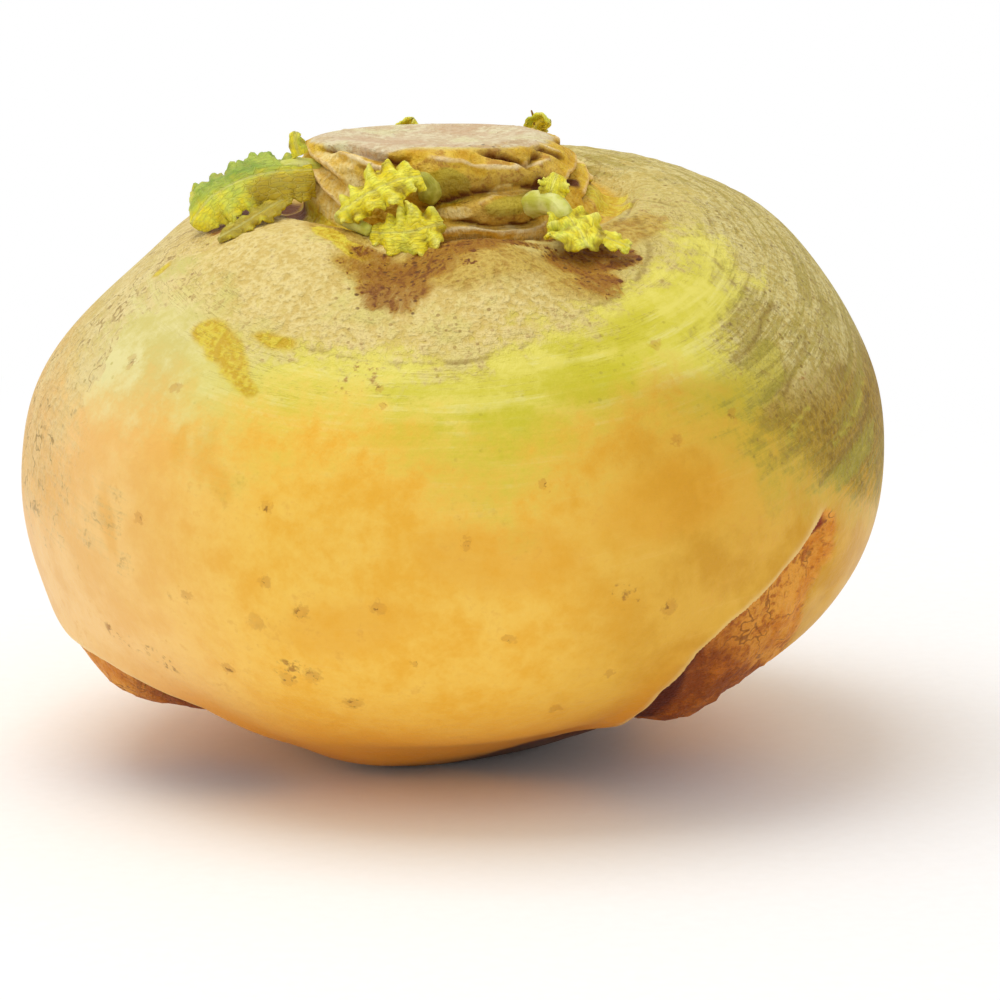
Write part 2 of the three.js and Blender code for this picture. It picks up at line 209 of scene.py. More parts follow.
class Shader(Nodes):
    # builds one material's nodes around a Principled shader
    def __init__(self, name, **constants):
        self.material = bpy.data.materials.new(name)
        self.material.use_nodes = True
        super().__init__(self.material.node_tree)
        self.surface = self.tree.nodes["Principled BSDF"]
        for key, value in constants.items():
            self.surface.inputs[key.replace("_", " ")].default_value = value

    def feed(self, name, value):
        self.tree.links.new(value.socket, self.surface.inputs[name])

    def bump(self, height):
        # height is in metres
        self.feed("Normal", self.node("ShaderNodeBump", None, {"Strength": 1, "Distance": 1, "Height": height}))

    def mix(self, factor, first, second):
        settings = {"data_type": "RGBA", "clamp_factor": True}
        return self.node("ShaderNodeMix", settings, {0: factor, 6: first, 7: second}, 2)

    def coated(self, base, *coats):
        # lays colours over a base, each where its mask says
        for mask, coat in coats:
            base = self.mix(mask, base, coat)
        return base

    def place(self):
        return self.node("ShaderNodeTexCoord", output="Object")

    def attribute(self, name, output="Fac"):
        return self.node("ShaderNodeAttribute", {"attribute_name": name}, (), output)

    def parts(self, name):
        # the three numbers of a painted vector
        split = self.node("ShaderNodeSeparateXYZ", None, [self.attribute(name, "Vector")])
        return [Value(self, socket) for socket in split.socket.node.outputs]

    def stretched(self, vector, x, y, z):
        return self.node("ShaderNodeVectorMath", {"operation": "MULTIPLY"}, [vector, (x, y, z)])

    def noise(self, vector, size, detail=2, roughness=0.5, distortion=0):
        # noise whose lumps have that size in metres
        inputs = {"Vector": vector, "Scale": 1 / size, "Detail": detail, "Roughness": roughness,
                  "Distortion": distortion}
        return self.node("ShaderNodeTexNoise", None, inputs)

    def cells(self, vector, size, feature="F1"):
        return self.node("ShaderNodeTexVoronoi", {"feature": feature}, {"Vector": vector, "Scale": 1 / size})

    def dots(self, vector, size, reach, share):
        # round dots in that share of the cells
        near = self.cells(vector, size)
        chosen = Value(self, near.socket.node.outputs["Color"])
        chosen = self.node("ShaderNodeSeparateColor", None, [chosen]).steps(1 - share, 1.02 - share)
        return near.steps(reach, reach * 0.5) * chosen

    def spots(self, vector, places, ragged):
        # round spots at given places: [middle, radius]; ragged is added to the distance from each middle
        mask = 0
        for middle, radius in places:
            away = self.node("ShaderNodeVectorMath", {"operation": "DISTANCE"}, [vector, middle], "Value") + ragged
            mask = away.steps(radius * 1.35, radius * 0.6).larger(mask)
        return mask


# Camera

camera = {
    "target": [6.4 * mm, 0, 34.25 * mm],
    "distance": 0.55,
    "elevation": 12,
    "lens": 143,
}


def makeCamera():
    tilt = math.radians(camera["elevation"])
    away = Vector((0, -math.cos(tilt), math.sin(tilt))) * camera["distance"]
    bpy.ops.object.camera_add(location=Vector(camera["target"]) + away, rotation=(math.pi / 2 - tilt, 0, 0))
    made = bpy.context.object
    made.data.lens = camera["lens"]
    made.data.clip_start = 0.01
    scene.camera = made


makeCamera()
print("camera set")


# Root

root = {
    # half the upright section, as [radius, height] from the base to the middle of the cut crown, in mm
    "outline": [
        [0, -0.6], [11, -0.4], [21, 2.6], [32, 7.6], [42, 11.2], [50.5, 18.2], [56, 26.4], [58.9, 35],
        [59.3, 44], [57.4, 53], [53, 61.5], [46, 69], [38.5, 73.8], [31.5, 76.2], [26, 76.6], [22.8, 75],
        [20.8, 75.6], [20.1, 77.8], [19.4, 80], [18.4, 82.2], [17, 84.2], [14, 85.1], [7, 84.4], [0, 84.6],
    ],
    "widest": 8,  # the outline's point at the equator
    "foot": 15,  # and at the foot of the neck
    "rim": 20,  # and at the rim of the cut crown
    "depthShare": 0.93,  # narrower from front to back
    "waist": 44,
    "neckFoot": 75,
    "crown": 85,
    "leanLeft": 0.3,
    "leanFront": 0.1,
    "shoulderSlope": 0.1,
    "crownSlope": -0.02,
    "middle": [0.045, -0.44],  # what was taken off to centre the part
    # swellings, and hollows below 0: [turn from the right, height, on the upper half, spread, push]
    "lobes": [
        [25, 70, True, 18, 2], [172, 68, True, 20, -3.4], [60, 75, True, 16, 1.5],
        [192, 16, False, 17, 3], [-8, 9, False, 15, -2.6], [-100, 24, False, 26, 1.5],
        [-125, 2, False, 12, 1.2], [-150, 5, False, 15, -2], [-58, 4, False, 12, -0.5],
        [-40, 9.5, False, 8, 3], [-160, 14, False, 9, 1.1],
        [-126, 6.5, False, 11, 2.8], [-61, 2.4, False, 12, -0.5], [-60, 9.5, False, 8, -1],
        [-128, 74.5, True, 9, 1.6], [-82, 74, True, 7.5, 1.8],
        [-102, 75.8, True, 6.5, -2.2], [-60, 75.6, True, 7.5, -2.6],
    ],
    "segments": 336,
    "rows": [62, 56, 62, 28],  # rows of faces on the lower half, the shoulder, the neck and the crown
    "lumps": 0.35,
}
spans = len(root["outline"]) - 1

# the two sunken furrows of the underside: each path is [turn, height] along its sharp lip
furrows = [
    {"path": [[-33, 41], [-36.8, 37.9], [-41.3, 33.7], [-44.8, 30.4], [-49.7, 26.6], [-54, 23], [-56.6, 17.2],
              [-56.5, 13], [-57, 8], [-60, 4]],
     "depth": 3, "rest": 0.9, "width": 15, "lip": 0.6, "belly": -1,
     "floor": [[-34, -62.5, 3.6, 4, 0], [-37, -68.5, 6.5, 5, 0], [-41, -75, 9, 6, 0]]},
    {"path": [[-172, 24], [-164, 21.6], [-158, 20], [-151.5, 18.4], [-147, 16.4], [-143, 14.4], [-137, 13],
              [-131, 10], [-127, 6]],
     "depth": 1.6, "rest": 0.2, "width": 9, "lip": 0.5, "belly": 1, "floor": []},
]
furrowWall = 0.9  # how far the drop behind a lip takes
furrowBand = [-1.6, 2.2]  # mm past a lip, where the root's faces are made finer

# torn edges of the leaf scars, as [turn, mm up the skin from the neck's foot], from left to right:
# each has a raised lip, and a drop below it that fades out again
scars = [
    {"path": [[-156, 11.4], [-140, 12.6], [-128, 13], [-114, 11.4], [-106, 10.6], [-96, 11.6]],
     "lip": 0.1, "drop": 1.7, "fade": 2},
    {"path": [[-142, 11.2], [-128, 10.5], [-118, 9.4], [-111, 9], [-102, 9.6]],
     "lip": 0.6, "drop": 0.5, "fade": 1.6},
    {"path": [[-170, 11.4], [-160, 10.4], [-150, 9.6], [-143, 9.1], [-136, 8.2], [-126, 7.4]],
     "lip": 0.7, "drop": 1.3, "fade": 1.8},
    {"path": [[-160, 8.2], [-148, 7.1], [-142, 6], [-136, 5.1], [-128, 4.4]], "lip": 0.7, "drop": 1, "fade": 2},
    {"path": [[-72, 12.2], [-61, 11.6], [-54, 10.9], [-49, 9.9], [-40, 10.8], [-28, 11.8]],
     "lip": 0.15, "drop": 1.9, "fade": 1.3},
    {"path": [[-100, 10.7], [-87, 10.2], [-78, 9.7], [-69, 9.1], [-58, 8.9], [-46, 9.5], [-36, 9.6], [-22, 9.3]],
     "lip": 0.45, "drop": 0.2, "fade": 1},
    {"path": [[-108, 5.6], [-95, 6], [-88, 6.6], [-80, 7.3], [-63, 7.5], [-44, 7.7], [-32, 7.6]],
     "lip": 0, "drop": 2.2, "fade": 1.7},
    {"path": [[-82, 4.9], [-74, 5.6], [-67, 6.3], [-60, 6.6], [-52, 6.4], [-44, 5.8]],
     "lip": 0.3, "drop": 0, "fade": 1},
    {"path": [[-92, 4.4], [-80, 4], [-70, 3.7], [-60, 3.6], [-50, 4]], "lip": 0, "drop": 1.6, "fade": 1},
    {"path": [[-98, 2.2], [-90, 2.9], [-79, 2.7], [-66, 2.1], [-54, 2.3], [-46, 3]],
     "lip": 0.8, "drop": 1.8, "fade": 2.2},
    {"path": [[-38, 12.2], [-30, 12], [-22, 10.6], [-16, 9.6]], "lip": 0.4, "drop": 1, "fade": 1.6},
    {"path": [[-34, 6.4], [-24, 7.4], [-12, 8.2], [2, 8.6], [10, 9.6]], "lip": 0.5, "drop": 2, "fade": 1.4},
    {"path": [[-28, 4.2], [-18, 5], [-6, 5.8], [8, 6.6], [22, 7]], "lip": 0.7, "drop": 1.7, "fade": 1.6},
    {"path": [[-46, -6.2], [-30, -3.6], [-14, -1.6], [0, -2.4]], "lip": 0.2, "drop": 0.5, "fade": 2},
]
hiddenScars = {"rows": [10.2, 7.4, 4.4], "from": 20, "to": 200, "every": 46, "reach": 26, "sag": 2,
               "lip": 0.6, "drop": 1.2, "fade": 1.8}
neckRadius = 19.5
# leaf bases that swell between the lips: [turn, mm up the skin, half width, half height, push]
swellings = [[-84, 10.2, 8, 2, 0.9], [-66, 4.8, 4.4, 1.5, 1.3], [-154, 6, 2.4, 2.6, 1], [-58, 8.6, 7, 1.3, 0.6],
             [-96, 8.4, 5, 1.2, 0.5], [-20, 3.4, 4, 1.4, 0.6], [-128, 9.4, 4, 0.9, 0.5]]

# the fine rootlets of the underside, at these places [turn, mm up the skin], in mm
rootlets = {
    "places": [[-150, -88.5], [-147, -89.5], [-144, -90], [-142, -90.4], [-140, -90.4], [-51, -94], [-56, -98]],
    "length": 0.9,
    "radius": 0.15,
    "droop": 0.3,
    "colours": ["5a3208", "b0843a"],
}

# parts of the skin, each with the mm up the skin where it fades in, and where it is whole
skinSpans = {
    "tail": [-112, -118],
    "under": [-84, -92],
    "bottom": [-78, -100],
    "low": [-31, -50],
    "bumpy": [-26, -18],
    "bumpyEnd": [12, 14],
    "neck": [-1.5, 1.5],
    "neckEnd": [11.5, 13],
    "crown": [11.8, 12.6],
}
# where the tan shoulder ends, as [turn, mm up the skin]
shoulderEdge = [[-200, -20], [-176, -14], [-155, -19], [-137, -25], [-119, -31], [-97, -31], [-89, -32], [-76, -28],
                [-65, -24], [-57, -20], [-43, -17], [-30, -13], [-10, -14], [40, -20], [100, -24], [160, -20]]
# where the russet flank begins, as [mm up the skin, turn]
russetEdge = [[-75, 10], [-66, -4], [-61, -16], [-58, -27], [-55, -34], [-52, -39], [-47, -44], [-44, -47],
              [-40, -45], [-37, -46], [-33, -47], [-30, -45], [-27, -38], [-25, -31], [-22, -33], [-18, -27],
              [-14, -26], [-12, -10], [-8, 12], [0, 30]]
russetFloor = -60  # and where it ends below, in mm up the skin
# where the green band ends below, as [turn, mm up the skin]
greenFloor = [[-180, -42], [-143, -44], [-126, -44], [-109, -42], [-100, -43], [-91, -47], [-81, -50], [-74, -45],
              [-68, -41], [-60, -39], [-52, -44], [-40, -54], [-20, -58], [30, -50], [120, -44], [150, -42]]

# patches of colour: [turn, mm up the skin, half width, half height, tilt in degrees]
patches = {
    "ochre": [
        [-129, -29.5, 3.2, 2.6, 0], [-125.5, -31.5, 3.6, 3, -30], [-122, -34, 3.6, 2.4, -42],
        [-119, -36.5, 3, 1.4, -38], [-117, -29, 3.6, 1.2, -8], [-154, -21.5, 1.2, 2.4, 0],
    ],
    "orange": [
        [-126, -47, 2, 4.6, 0], [-122, -47, 2, 5.4, 0], [-119, -52, 2, 3, 30], [-138, -60, 1.5, 6, 8],
        [-62, -55, 12, 6, 15], [-84, -60, 14, 5, -10], [-104, -70, 12, 5, 10], [-96, -98, 16, 7, 0],
        [-75, -96, 16, 6, 0],
    ],
    "brown": [
        [-102, -33, 1.4, 2.4, 10], [-103.5, -35.6, 2, 1.6, 0], [-143, -77, 2.8, 1.8, -30], [-136, -80, 2.6, 1.4, -35],
        [-111, -76.5, 3, 1.8, 20], [-47, -37, 1.8, 1.2, 30], [-33, -41, 2.2, 1.4, 30], [-68, -66, 2.6, 1.4, 0],
    ],
    # the stained skin below the neck, which also holds painted shade under the sprouts and under the left leaf
    "stainAndShade": [
        [-100, -12.5, 9, 5, 0], [-100, -18, 5.5, 5, 0], [-109, -9, 4, 2.8, 0], [-88, -8, 8, 3.6, 0],
        [-76, -5.5, 6, 2.2, 0], [-58, -11, 6, 4.4, -15], [-60, -17, 4, 4, 0], [-50, -13, 3, 3, -20],
        [-30, 3, 4, 2.5, 0], [-95, -3, 14, 2.6, 0], [-65, -2, 10, 2, 0], [-164, 14, 2.4, 1.6, 0],
        [-108, 17.5, 1.6, 0.5, 0], [-38, 14, 4, 1, 0], [-60, 13.4, 3, 0.8, 0], [-157, -12, 3.4, 1.8, -20],
    ],
    "yellow": [
        [-162, 0, 4, 2.4, 0], [-146, 3, 5, 3, 0], [-122, -7.5, 3.4, 1.8, -20], [-113, -9.5, 3.2, 2.2, -10],
        [-128, 0.6, 5, 2, -15], [-10, 2, 3, 5, 0], [4, 4, 3, 5, 0], [-176, 6, 3, 4, 0],
    ],
    "olive": [
        [-164, 5.5, 3.4, 4.4, 0], [-62, 5.4, 5.4, 1.3, 8], [-86, 7.6, 3, 1.6, 0], [-72, -29, 5, 2, 0],
        [-84, -23, 9, 3, 5], [-82, -43, 10, 5, -5], [-96, -43, 8, 2.4, 10], [-70, -35, 8, 4, 0], [-62, -28, 5, 3, 30],
        [-47, -43, 7, 8, 20],
    ],
    # paler leaf bases of the neck; and painted shade, dark in the gaps between them and under the left leaf's base
    "leafBase": [
        [-74, 2.3, 8, 1.3, 0], [-58, 2.2, 4, 1, 0], [-139, 6.4, 5, 4, 0], [-62, 6.9, 3.4, 0.7, 0],
        [-86, 4.9, 3, 0.7, 0], [-136, 10.6, 5, 1.2, 0], [14, 7, 4, 2.4, 0],
    ],
    "paintedShade": [
        [-23, 6.6, 1.8, 1.2, 0], [-46, 7.2, 1.2, 0.8, 0], [-54, 2.6, 1.2, 0.4, 0], [-170, -5, 10, 4.5, 5],
        [-166, 1, 3.5, 3, 0], [174, -0.5, 5, 3.4, 0],
    ],
    # where the shoulder is stained yellow-brown
    "tawny": [
        [-86, -12, 15, 7, 0], [-64, -15, 7, 6, -10], [-104, -12, 8, 5, 0], [-40, -8, 10, 4, 0], [-122, -6, 7, 3, -15],
    ],
}
# small brown spots: [turn, mm up the skin, radius]
brownSpots = [
    [-100, -35.4, 0.9], [-99, -39, 0.55], [-129.5, -39, 0.75], [-58, -29.6, 0.9], [-120, -9, 1.1], [-113, -64.5, 0.8],
    [-108, -67, 1.1], [-115, -70, 1.1], [-108, -77, 1.2], [-113, -78.4, 1], [-74, -85, 0.9], [-99, -66, 0.9],
    [-104, -83, 1.3], [-122, -78, 0.9], [-125, -68, 0.8], [-50, -43, 0.8], [-60, -46, 0.7], [-140, -36, 0.9],
    [-61, -69, 1.1], [-88, -58, 0.5], [-82, -71, 0.6], [-94, -75, 0.5], [-132, -58, 0.7], [-67, -78, 0.6],
    [-78, -51, 0.5], [-112, -55, 0.5], [-26, -9, 0.7], [-22, -5, 0.7],
]
# strips of the russet flank where the green skin shows, from above to below: [turn, mm up the skin], half width
strips = [
    {"path": [[-31, -24.4], [-36, -25.6], [-42, -27], [-48, -28.8]], "width": 0.8},
    {"path": [[-34, -34], [-39, -35.8], [-44, -38], [-50, -41], [-56, -44]], "width": 2.2},
    {"path": [[-36, -37.4], [-42, -40], [-47, -43], [-51, -46]], "width": 1.4},
    {"path": [[-34, -44], [-39, -46.5], [-43, -50]], "width": 0.7},
    {"path": [[-14, -50], [-22, -53], [-31, -55.6], [-38, -57.6]], "width": 1.8},
    {"path": [[-10, -42], [-18, -45.6], [-27, -49], [-34, -52]], "width": 0.6},
    {"path": [[-27, -16], [-29, -20], [-33, -23]], "width": 1.6},
]
stripDepth, creaseDepth = 0.15, 0.22  # mm
# fine creases of the skin: [turn, mm up the skin], half width
creases = [
    {"path": [[-26, -4], [-36, -9], [-44, -14], [-52, -18], [-60, -21], [-70, -24]], "width": 0.5},
    {"path": [[-76, -27.6], [-86, -30.6], [-96, -31.2], [-104, -30.8], [-114, -29.4]], "width": 0.5},
    {"path": [[-20, -13], [-26, -14.4], [-30, -15.6], [-32, -20.4], [-34, -24.4]], "width": 0.5},
    {"path": [[-27, -28], [-34, -30], [-41, -33.4], [-47, -35]], "width": 0.6},
    {"path": [[-24, -34], [-30, -36.6], [-36, -39.4], [-42, -43.4]], "width": 0.6},
    {"path": [[-10, -38], [-17, -41], [-24, -42]], "width": 0.6},
    {"path": [[-12, -46], [-22, -50], [-30, -53], [-37, -56]], "width": 0.5},
    {"path": [[-14, -9], [-12, -6], [-9, -3]], "width": 0.4},
]


def curveThrough(points, steps=40):
    # a centripetal Catmull-Rom curve through points, with that many steps between two of them
    given = np.array(points, float)
    given = np.vstack([2 * given[0] - given[1], given, 2 * given[-1] - given[-2]])
    share = np.arange(steps)[:, None] / steps
    parts = []
    for a, b, c, d in zip(given, given[1:], given[2:], given[3:]):
        before, across, after = (np.linalg.norm(v) ** 0.5 for v in (b - a, c - b, d - c))
        leave = across * ((b - a) / before - (c - a) / (before + across) + (c - b) / across)
        arrive = across * ((c - b) / across - (d - b) / (across + after) + (d - c) / after)
        cubic = 2 * (b - c) + leave + arrive
        square = 3 * (c - b) - 2 * leave - arrive
        parts.append(b + leave * share + square * share ** 2 + cubic * share ** 3)
    return np.vstack(parts + [given[-2:-1]])


outline = curveThrough(root["outline"])
outlineShares = np.linspace(0, 1, len(outline))
outlineSlopes = np.gradient(outline, axis=0)
outlineLengths = np.concatenate([[0], np.cumsum(np.linalg.norm(np.diff(outline, axis=0), axis=1))])
outlineLengths -= np.interp(root["foot"] / spans, outlineShares, outlineLengths)


def skinAt(share, turn):
    # the skin before its lobes: its points, and the ways that it faces
    share, turn = np.broadcast_arrays(np.asarray(share, float), np.radians(turn))
    radius, height = (np.interp(share, outlineShares, outline[:, i]) for i in (0, 1))
    outwards, upwards = (np.interp(share, outlineShares, outlineSlopes[:, i]) for i in (0, 1))
    point = np.stack([radius * np.cos(turn), radius * np.sin(turn) * root["depthShare"], height], -1)
    face = np.stack([upwards * np.cos(turn), upwards * np.sin(turn), -outwards], -1)
    return point, face / np.linalg.norm(face, axis=-1, keepdims=True)


def skinUp(turn, up):
    # the point of the skin that is so many mm up from the neck's foot
    return skinAt(np.interp(up, outlineLengths, outlineShares), turn)[0]


def shareAtHeight(height, upper):
    heights = [z for _, z in root["outline"]]
    low, high = (root["widest"], root["foot"] - 1) if upper else (0, root["widest"])
    return np.interp(height, heights[low:high + 1], np.arange(low, high + 1)) / spans


def besideLine(points, line, side):
    # the distance from a line, signed by which side, and how far along it the nearest place is
    best = np.full(len(points), np.inf)
    signed, along = np.zeros(len(points)), np.zeros(len(points))
    for i, (start, end) in enumerate(zip(line, line[1:])):
        share = np.clip(((points - start) @ (end - start)) / ((end - start) @ (end - start)), 0, 1)
        away = points - start - share[:, None] * (end - start)
        distance = np.linalg.norm(away, axis=1)
        near = distance < best
        best = np.where(near, distance, best)
        signed = np.where(near, distance * np.sign(side(end - start, away)), signed)
        along = np.where(near, (i + share) / (len(line) - 1), along)
    return signed, along


def furrowPlace(furrow, points, faces):
    # mm past a furrow's lip, below 0 on the belly's side, how far along it, and how much of it is there
    line = [skinAt(shareAtHeight(height, False), turn)[0] for turn, height in furrow["path"]]
    past, along = besideLine(points, line, lambda run, away: furrow["belly"] * (np.cross(run, faces) * away).sum(1))
    return past, along, smooth(along, 0, 0.2) * (1 - smooth(along, 0.85, 1))


def wrapped(turn):
    return (turn + 180) % 360 - 180


def edgeAt(edge, turn):
    # a closed edge's value at each turn
    turns, values = np.array(edge).T
    order = np.argsort(wrapped(turns))
    return np.interp(turn, wrapped(turns)[order], values[order], period=360)


def patchMask(patches, turn, up, radius, wobble):
    mask = np.zeros(len(turn))
    for patchTurn, patchUp, wide, high, tilt in patches:
        across = np.radians(wrapped(turn - patchTurn)) * radius
        above = up - patchUp
        c, s = math.cos(math.radians(tilt)), math.sin(math.radians(tilt))
        far = np.hypot((across * c + above * s) / wide, (above * c - across * s) / high)
        mask = np.maximum(mask, 1 - smooth(far + 0.3 * wobble, 0.55, 1.25))
    return mask


def lineMask(lines, points):
    # how strongly each point lies on a line, its distance from the nearest one, below 0 under it, and how near it is
    outOfReach = 3.0
    mask, signed, nearest = (np.full(len(points), value) for value in (0.0, outOfReach, outOfReach))
    for mark in lines:
        curve = curveThrough([skinUp(turn, up) for turn, up in mark["path"]], 4)
        near = np.linalg.norm(points - curve[len(curve) // 2], axis=1) < 30
        away, along = besideLine(points[near], curve, lambda run, off: off[:, 2] + 0.01)
        ends = smooth(along, 0, 0.25) * (1 - smooth(along, 0.75, 1))
        width = mark["width"] * (0.35 + 0.65 * ends)
        mask[near] = np.maximum(mask[near], bell(away, width) * smooth(ends, 0, 0.3))
        far = np.abs(away) + 2 * (1 - smooth(ends, 0, 0.2))
        closer = far < nearest[near]
        signed[near] = np.where(closer, away, signed[near])
        nearest[near] = np.minimum(far, nearest[near])
    return mask, signed, 1 - smooth(nearest, 1.2, 2.2)


def allScars():
    marks = list(scars)
    hidden = hiddenScars
    for row, middle in enumerate(hidden["rows"]):
        turn = hidden["from"] + (row % 2) * hidden["every"] / 2
        while turn < hidden["to"]:
            arc = [[-1, 1], [-0.5, 0.25], [0, 0], [0.5, 0.25], [1, 1]]
            sway = math.sin(len(marks) * 2.4)
            reach = hidden["reach"] * (1 + 0.3 * sway)
            path = [[turn + side * reach, middle + sway + side * 0.7 * math.cos(len(marks) * 1.7)
                     + rise * hidden["sag"]] for side, rise in arc]
            marks.append({**hidden, "path": path, "drop": hidden["drop"] * (1 - 0.3 * sway)})
            turn += hidden["every"]
    return marks


def scarRelief(turn, up):
    # how far the torn edges push the neck out, and masks of the lips and of the shade below them
    push, lips, shade = np.zeros((3, len(turn)))
    for mark in allScars():
        middle = mark["path"][len(mark["path"]) // 2][0]
        near = (np.abs(wrapped(turn - middle)) < 90) & (np.abs(up - 4) < 14)
        flat = np.stack([np.radians(wrapped(turn[near] - middle)) * neckRadius, up[near]], -1)
        space = np.column_stack([flat * [1, 1.6], np.full(len(flat), middle / 20)])
        flat[:, 1] += 0.5 * cloudy(space, 4.5, 21) + 0.22 * cloudy(space, 1.3, 22)
        line = [np.array([math.radians(t - middle) * neckRadius, u]) for t, u in mark["path"]]
        curve = curveThrough(line, 6)
        above, along = besideLine(flat, curve, lambda run, away: run[0] * away[:, 1] - run[1] * away[:, 0])
        ends = smooth(along, 0, 0.2) * (1 - smooth(along, 0.8, 1))
        below = smooth(-above, 0, 0.35) * (1 - smooth(-above, 0.45, mark["fade"]))
        push[near] += ends * (0.6 * mark["lip"] * bell(above - 0.35, 0.4) - 0.65 * mark["drop"] * below)
        lips[near] = np.maximum(lips[near], ends * bell(above - 0.25, 0.35) * min(1, mark["lip"] * 1.8))
        dark = smooth(-above, -0.05, 0.25) * (1 - smooth(-above, 0.3, 0.25 + 0.35 * mark["fade"]))
        roll = 0.4 * smooth(above, 2.2, -0.1) * (above > -0.2) * (mark["lip"] < 0.2)
        shade[near] = np.maximum(shade[near], ends * np.maximum(dark, roll) * min(1, mark["drop"] / 1.2))
    return push, lips, shade


def furrowRelief(points, faces, turn, up, radius, coarse, fine):
    # how far the furrows sink the skin, and masks of their floor, shadow, depth, lit lip and the warm skin before it
    push, floor, edge, deep, rim, warm = np.zeros((6, len(points)))
    for furrow in furrows:
        past, along, there = furrowPlace(furrow, points, faces)
        past = past + 0.6 * cloudy(points, 6, 3) + 0.25 * fine
        wall = smooth(past, 0, furrowWall)
        back = smooth(past, 0.2 * furrow["width"], furrow["width"])
        sunk = furrow["depth"] + (furrow["rest"] - furrow["depth"]) * back
        sunk = sunk * (1 - smooth(past, furrow["width"], 1.8 * furrow["width"]))
        reach = furrow["width"] * (0.75 + 1.6 * smooth(along, 0.05, 0.45))
        inside = smooth(past, 0, 0.5) * (1 - smooth(past + 2.4 * coarse, 0.55 * reach, reach))
        rough = 0.4 * fine + 0.3 * cloudy(points, 1.1, 6)
        push += there * (furrow["lip"] * bell(past + 1.4, 1.6) - sunk * wall + inside * rough)
        spread = patchMask(furrow["floor"], turn, up, radius, coarse + fine) * smooth(past, 0, 0.5)
        floor = np.maximum(floor, np.maximum(inside * smooth(there, 0, 0.3), spread))
        dark = 2 + 3 * smooth(along, 0.35, 0.8)
        edge = np.maximum(edge, smooth(past, 0.05, 0.4) * (1 - smooth(past, dark, dark * 2)) * smooth(there, 0, 0.4))
        deep = np.maximum(deep, smooth(along, 0.25, 0.65) * inside)
        rim = np.maximum(rim, bell(past + 0.5, 0.6) * smooth(there, 0, 0.5))
        warm = np.maximum(warm, smooth(past, -9, -0.5) * (1 - wall) * smooth(along, 0.45, 0.8))
    return push, floor, edge, deep, rim, warm


def skinZones(turn, up, radius):
    # how far each point lies inside the shoulder, the russet flank and the green band
    fromShoulder = up - edgeAt(shoulderEdge, turn)
    ups, turns = np.array(russetEdge).T
    border = np.interp(up, ups, turns)
    fromRusset = np.minimum(np.radians(turn - border) * radius, 15 + (180 - turn) * 0.5)
    fromRusset = np.where(turn < border - 100, (-150 - turn) * 0.5, fromRusset)
    return fromShoulder, np.minimum(fromRusset, up - russetFloor), up - edgeAt(greenFloor, turn)


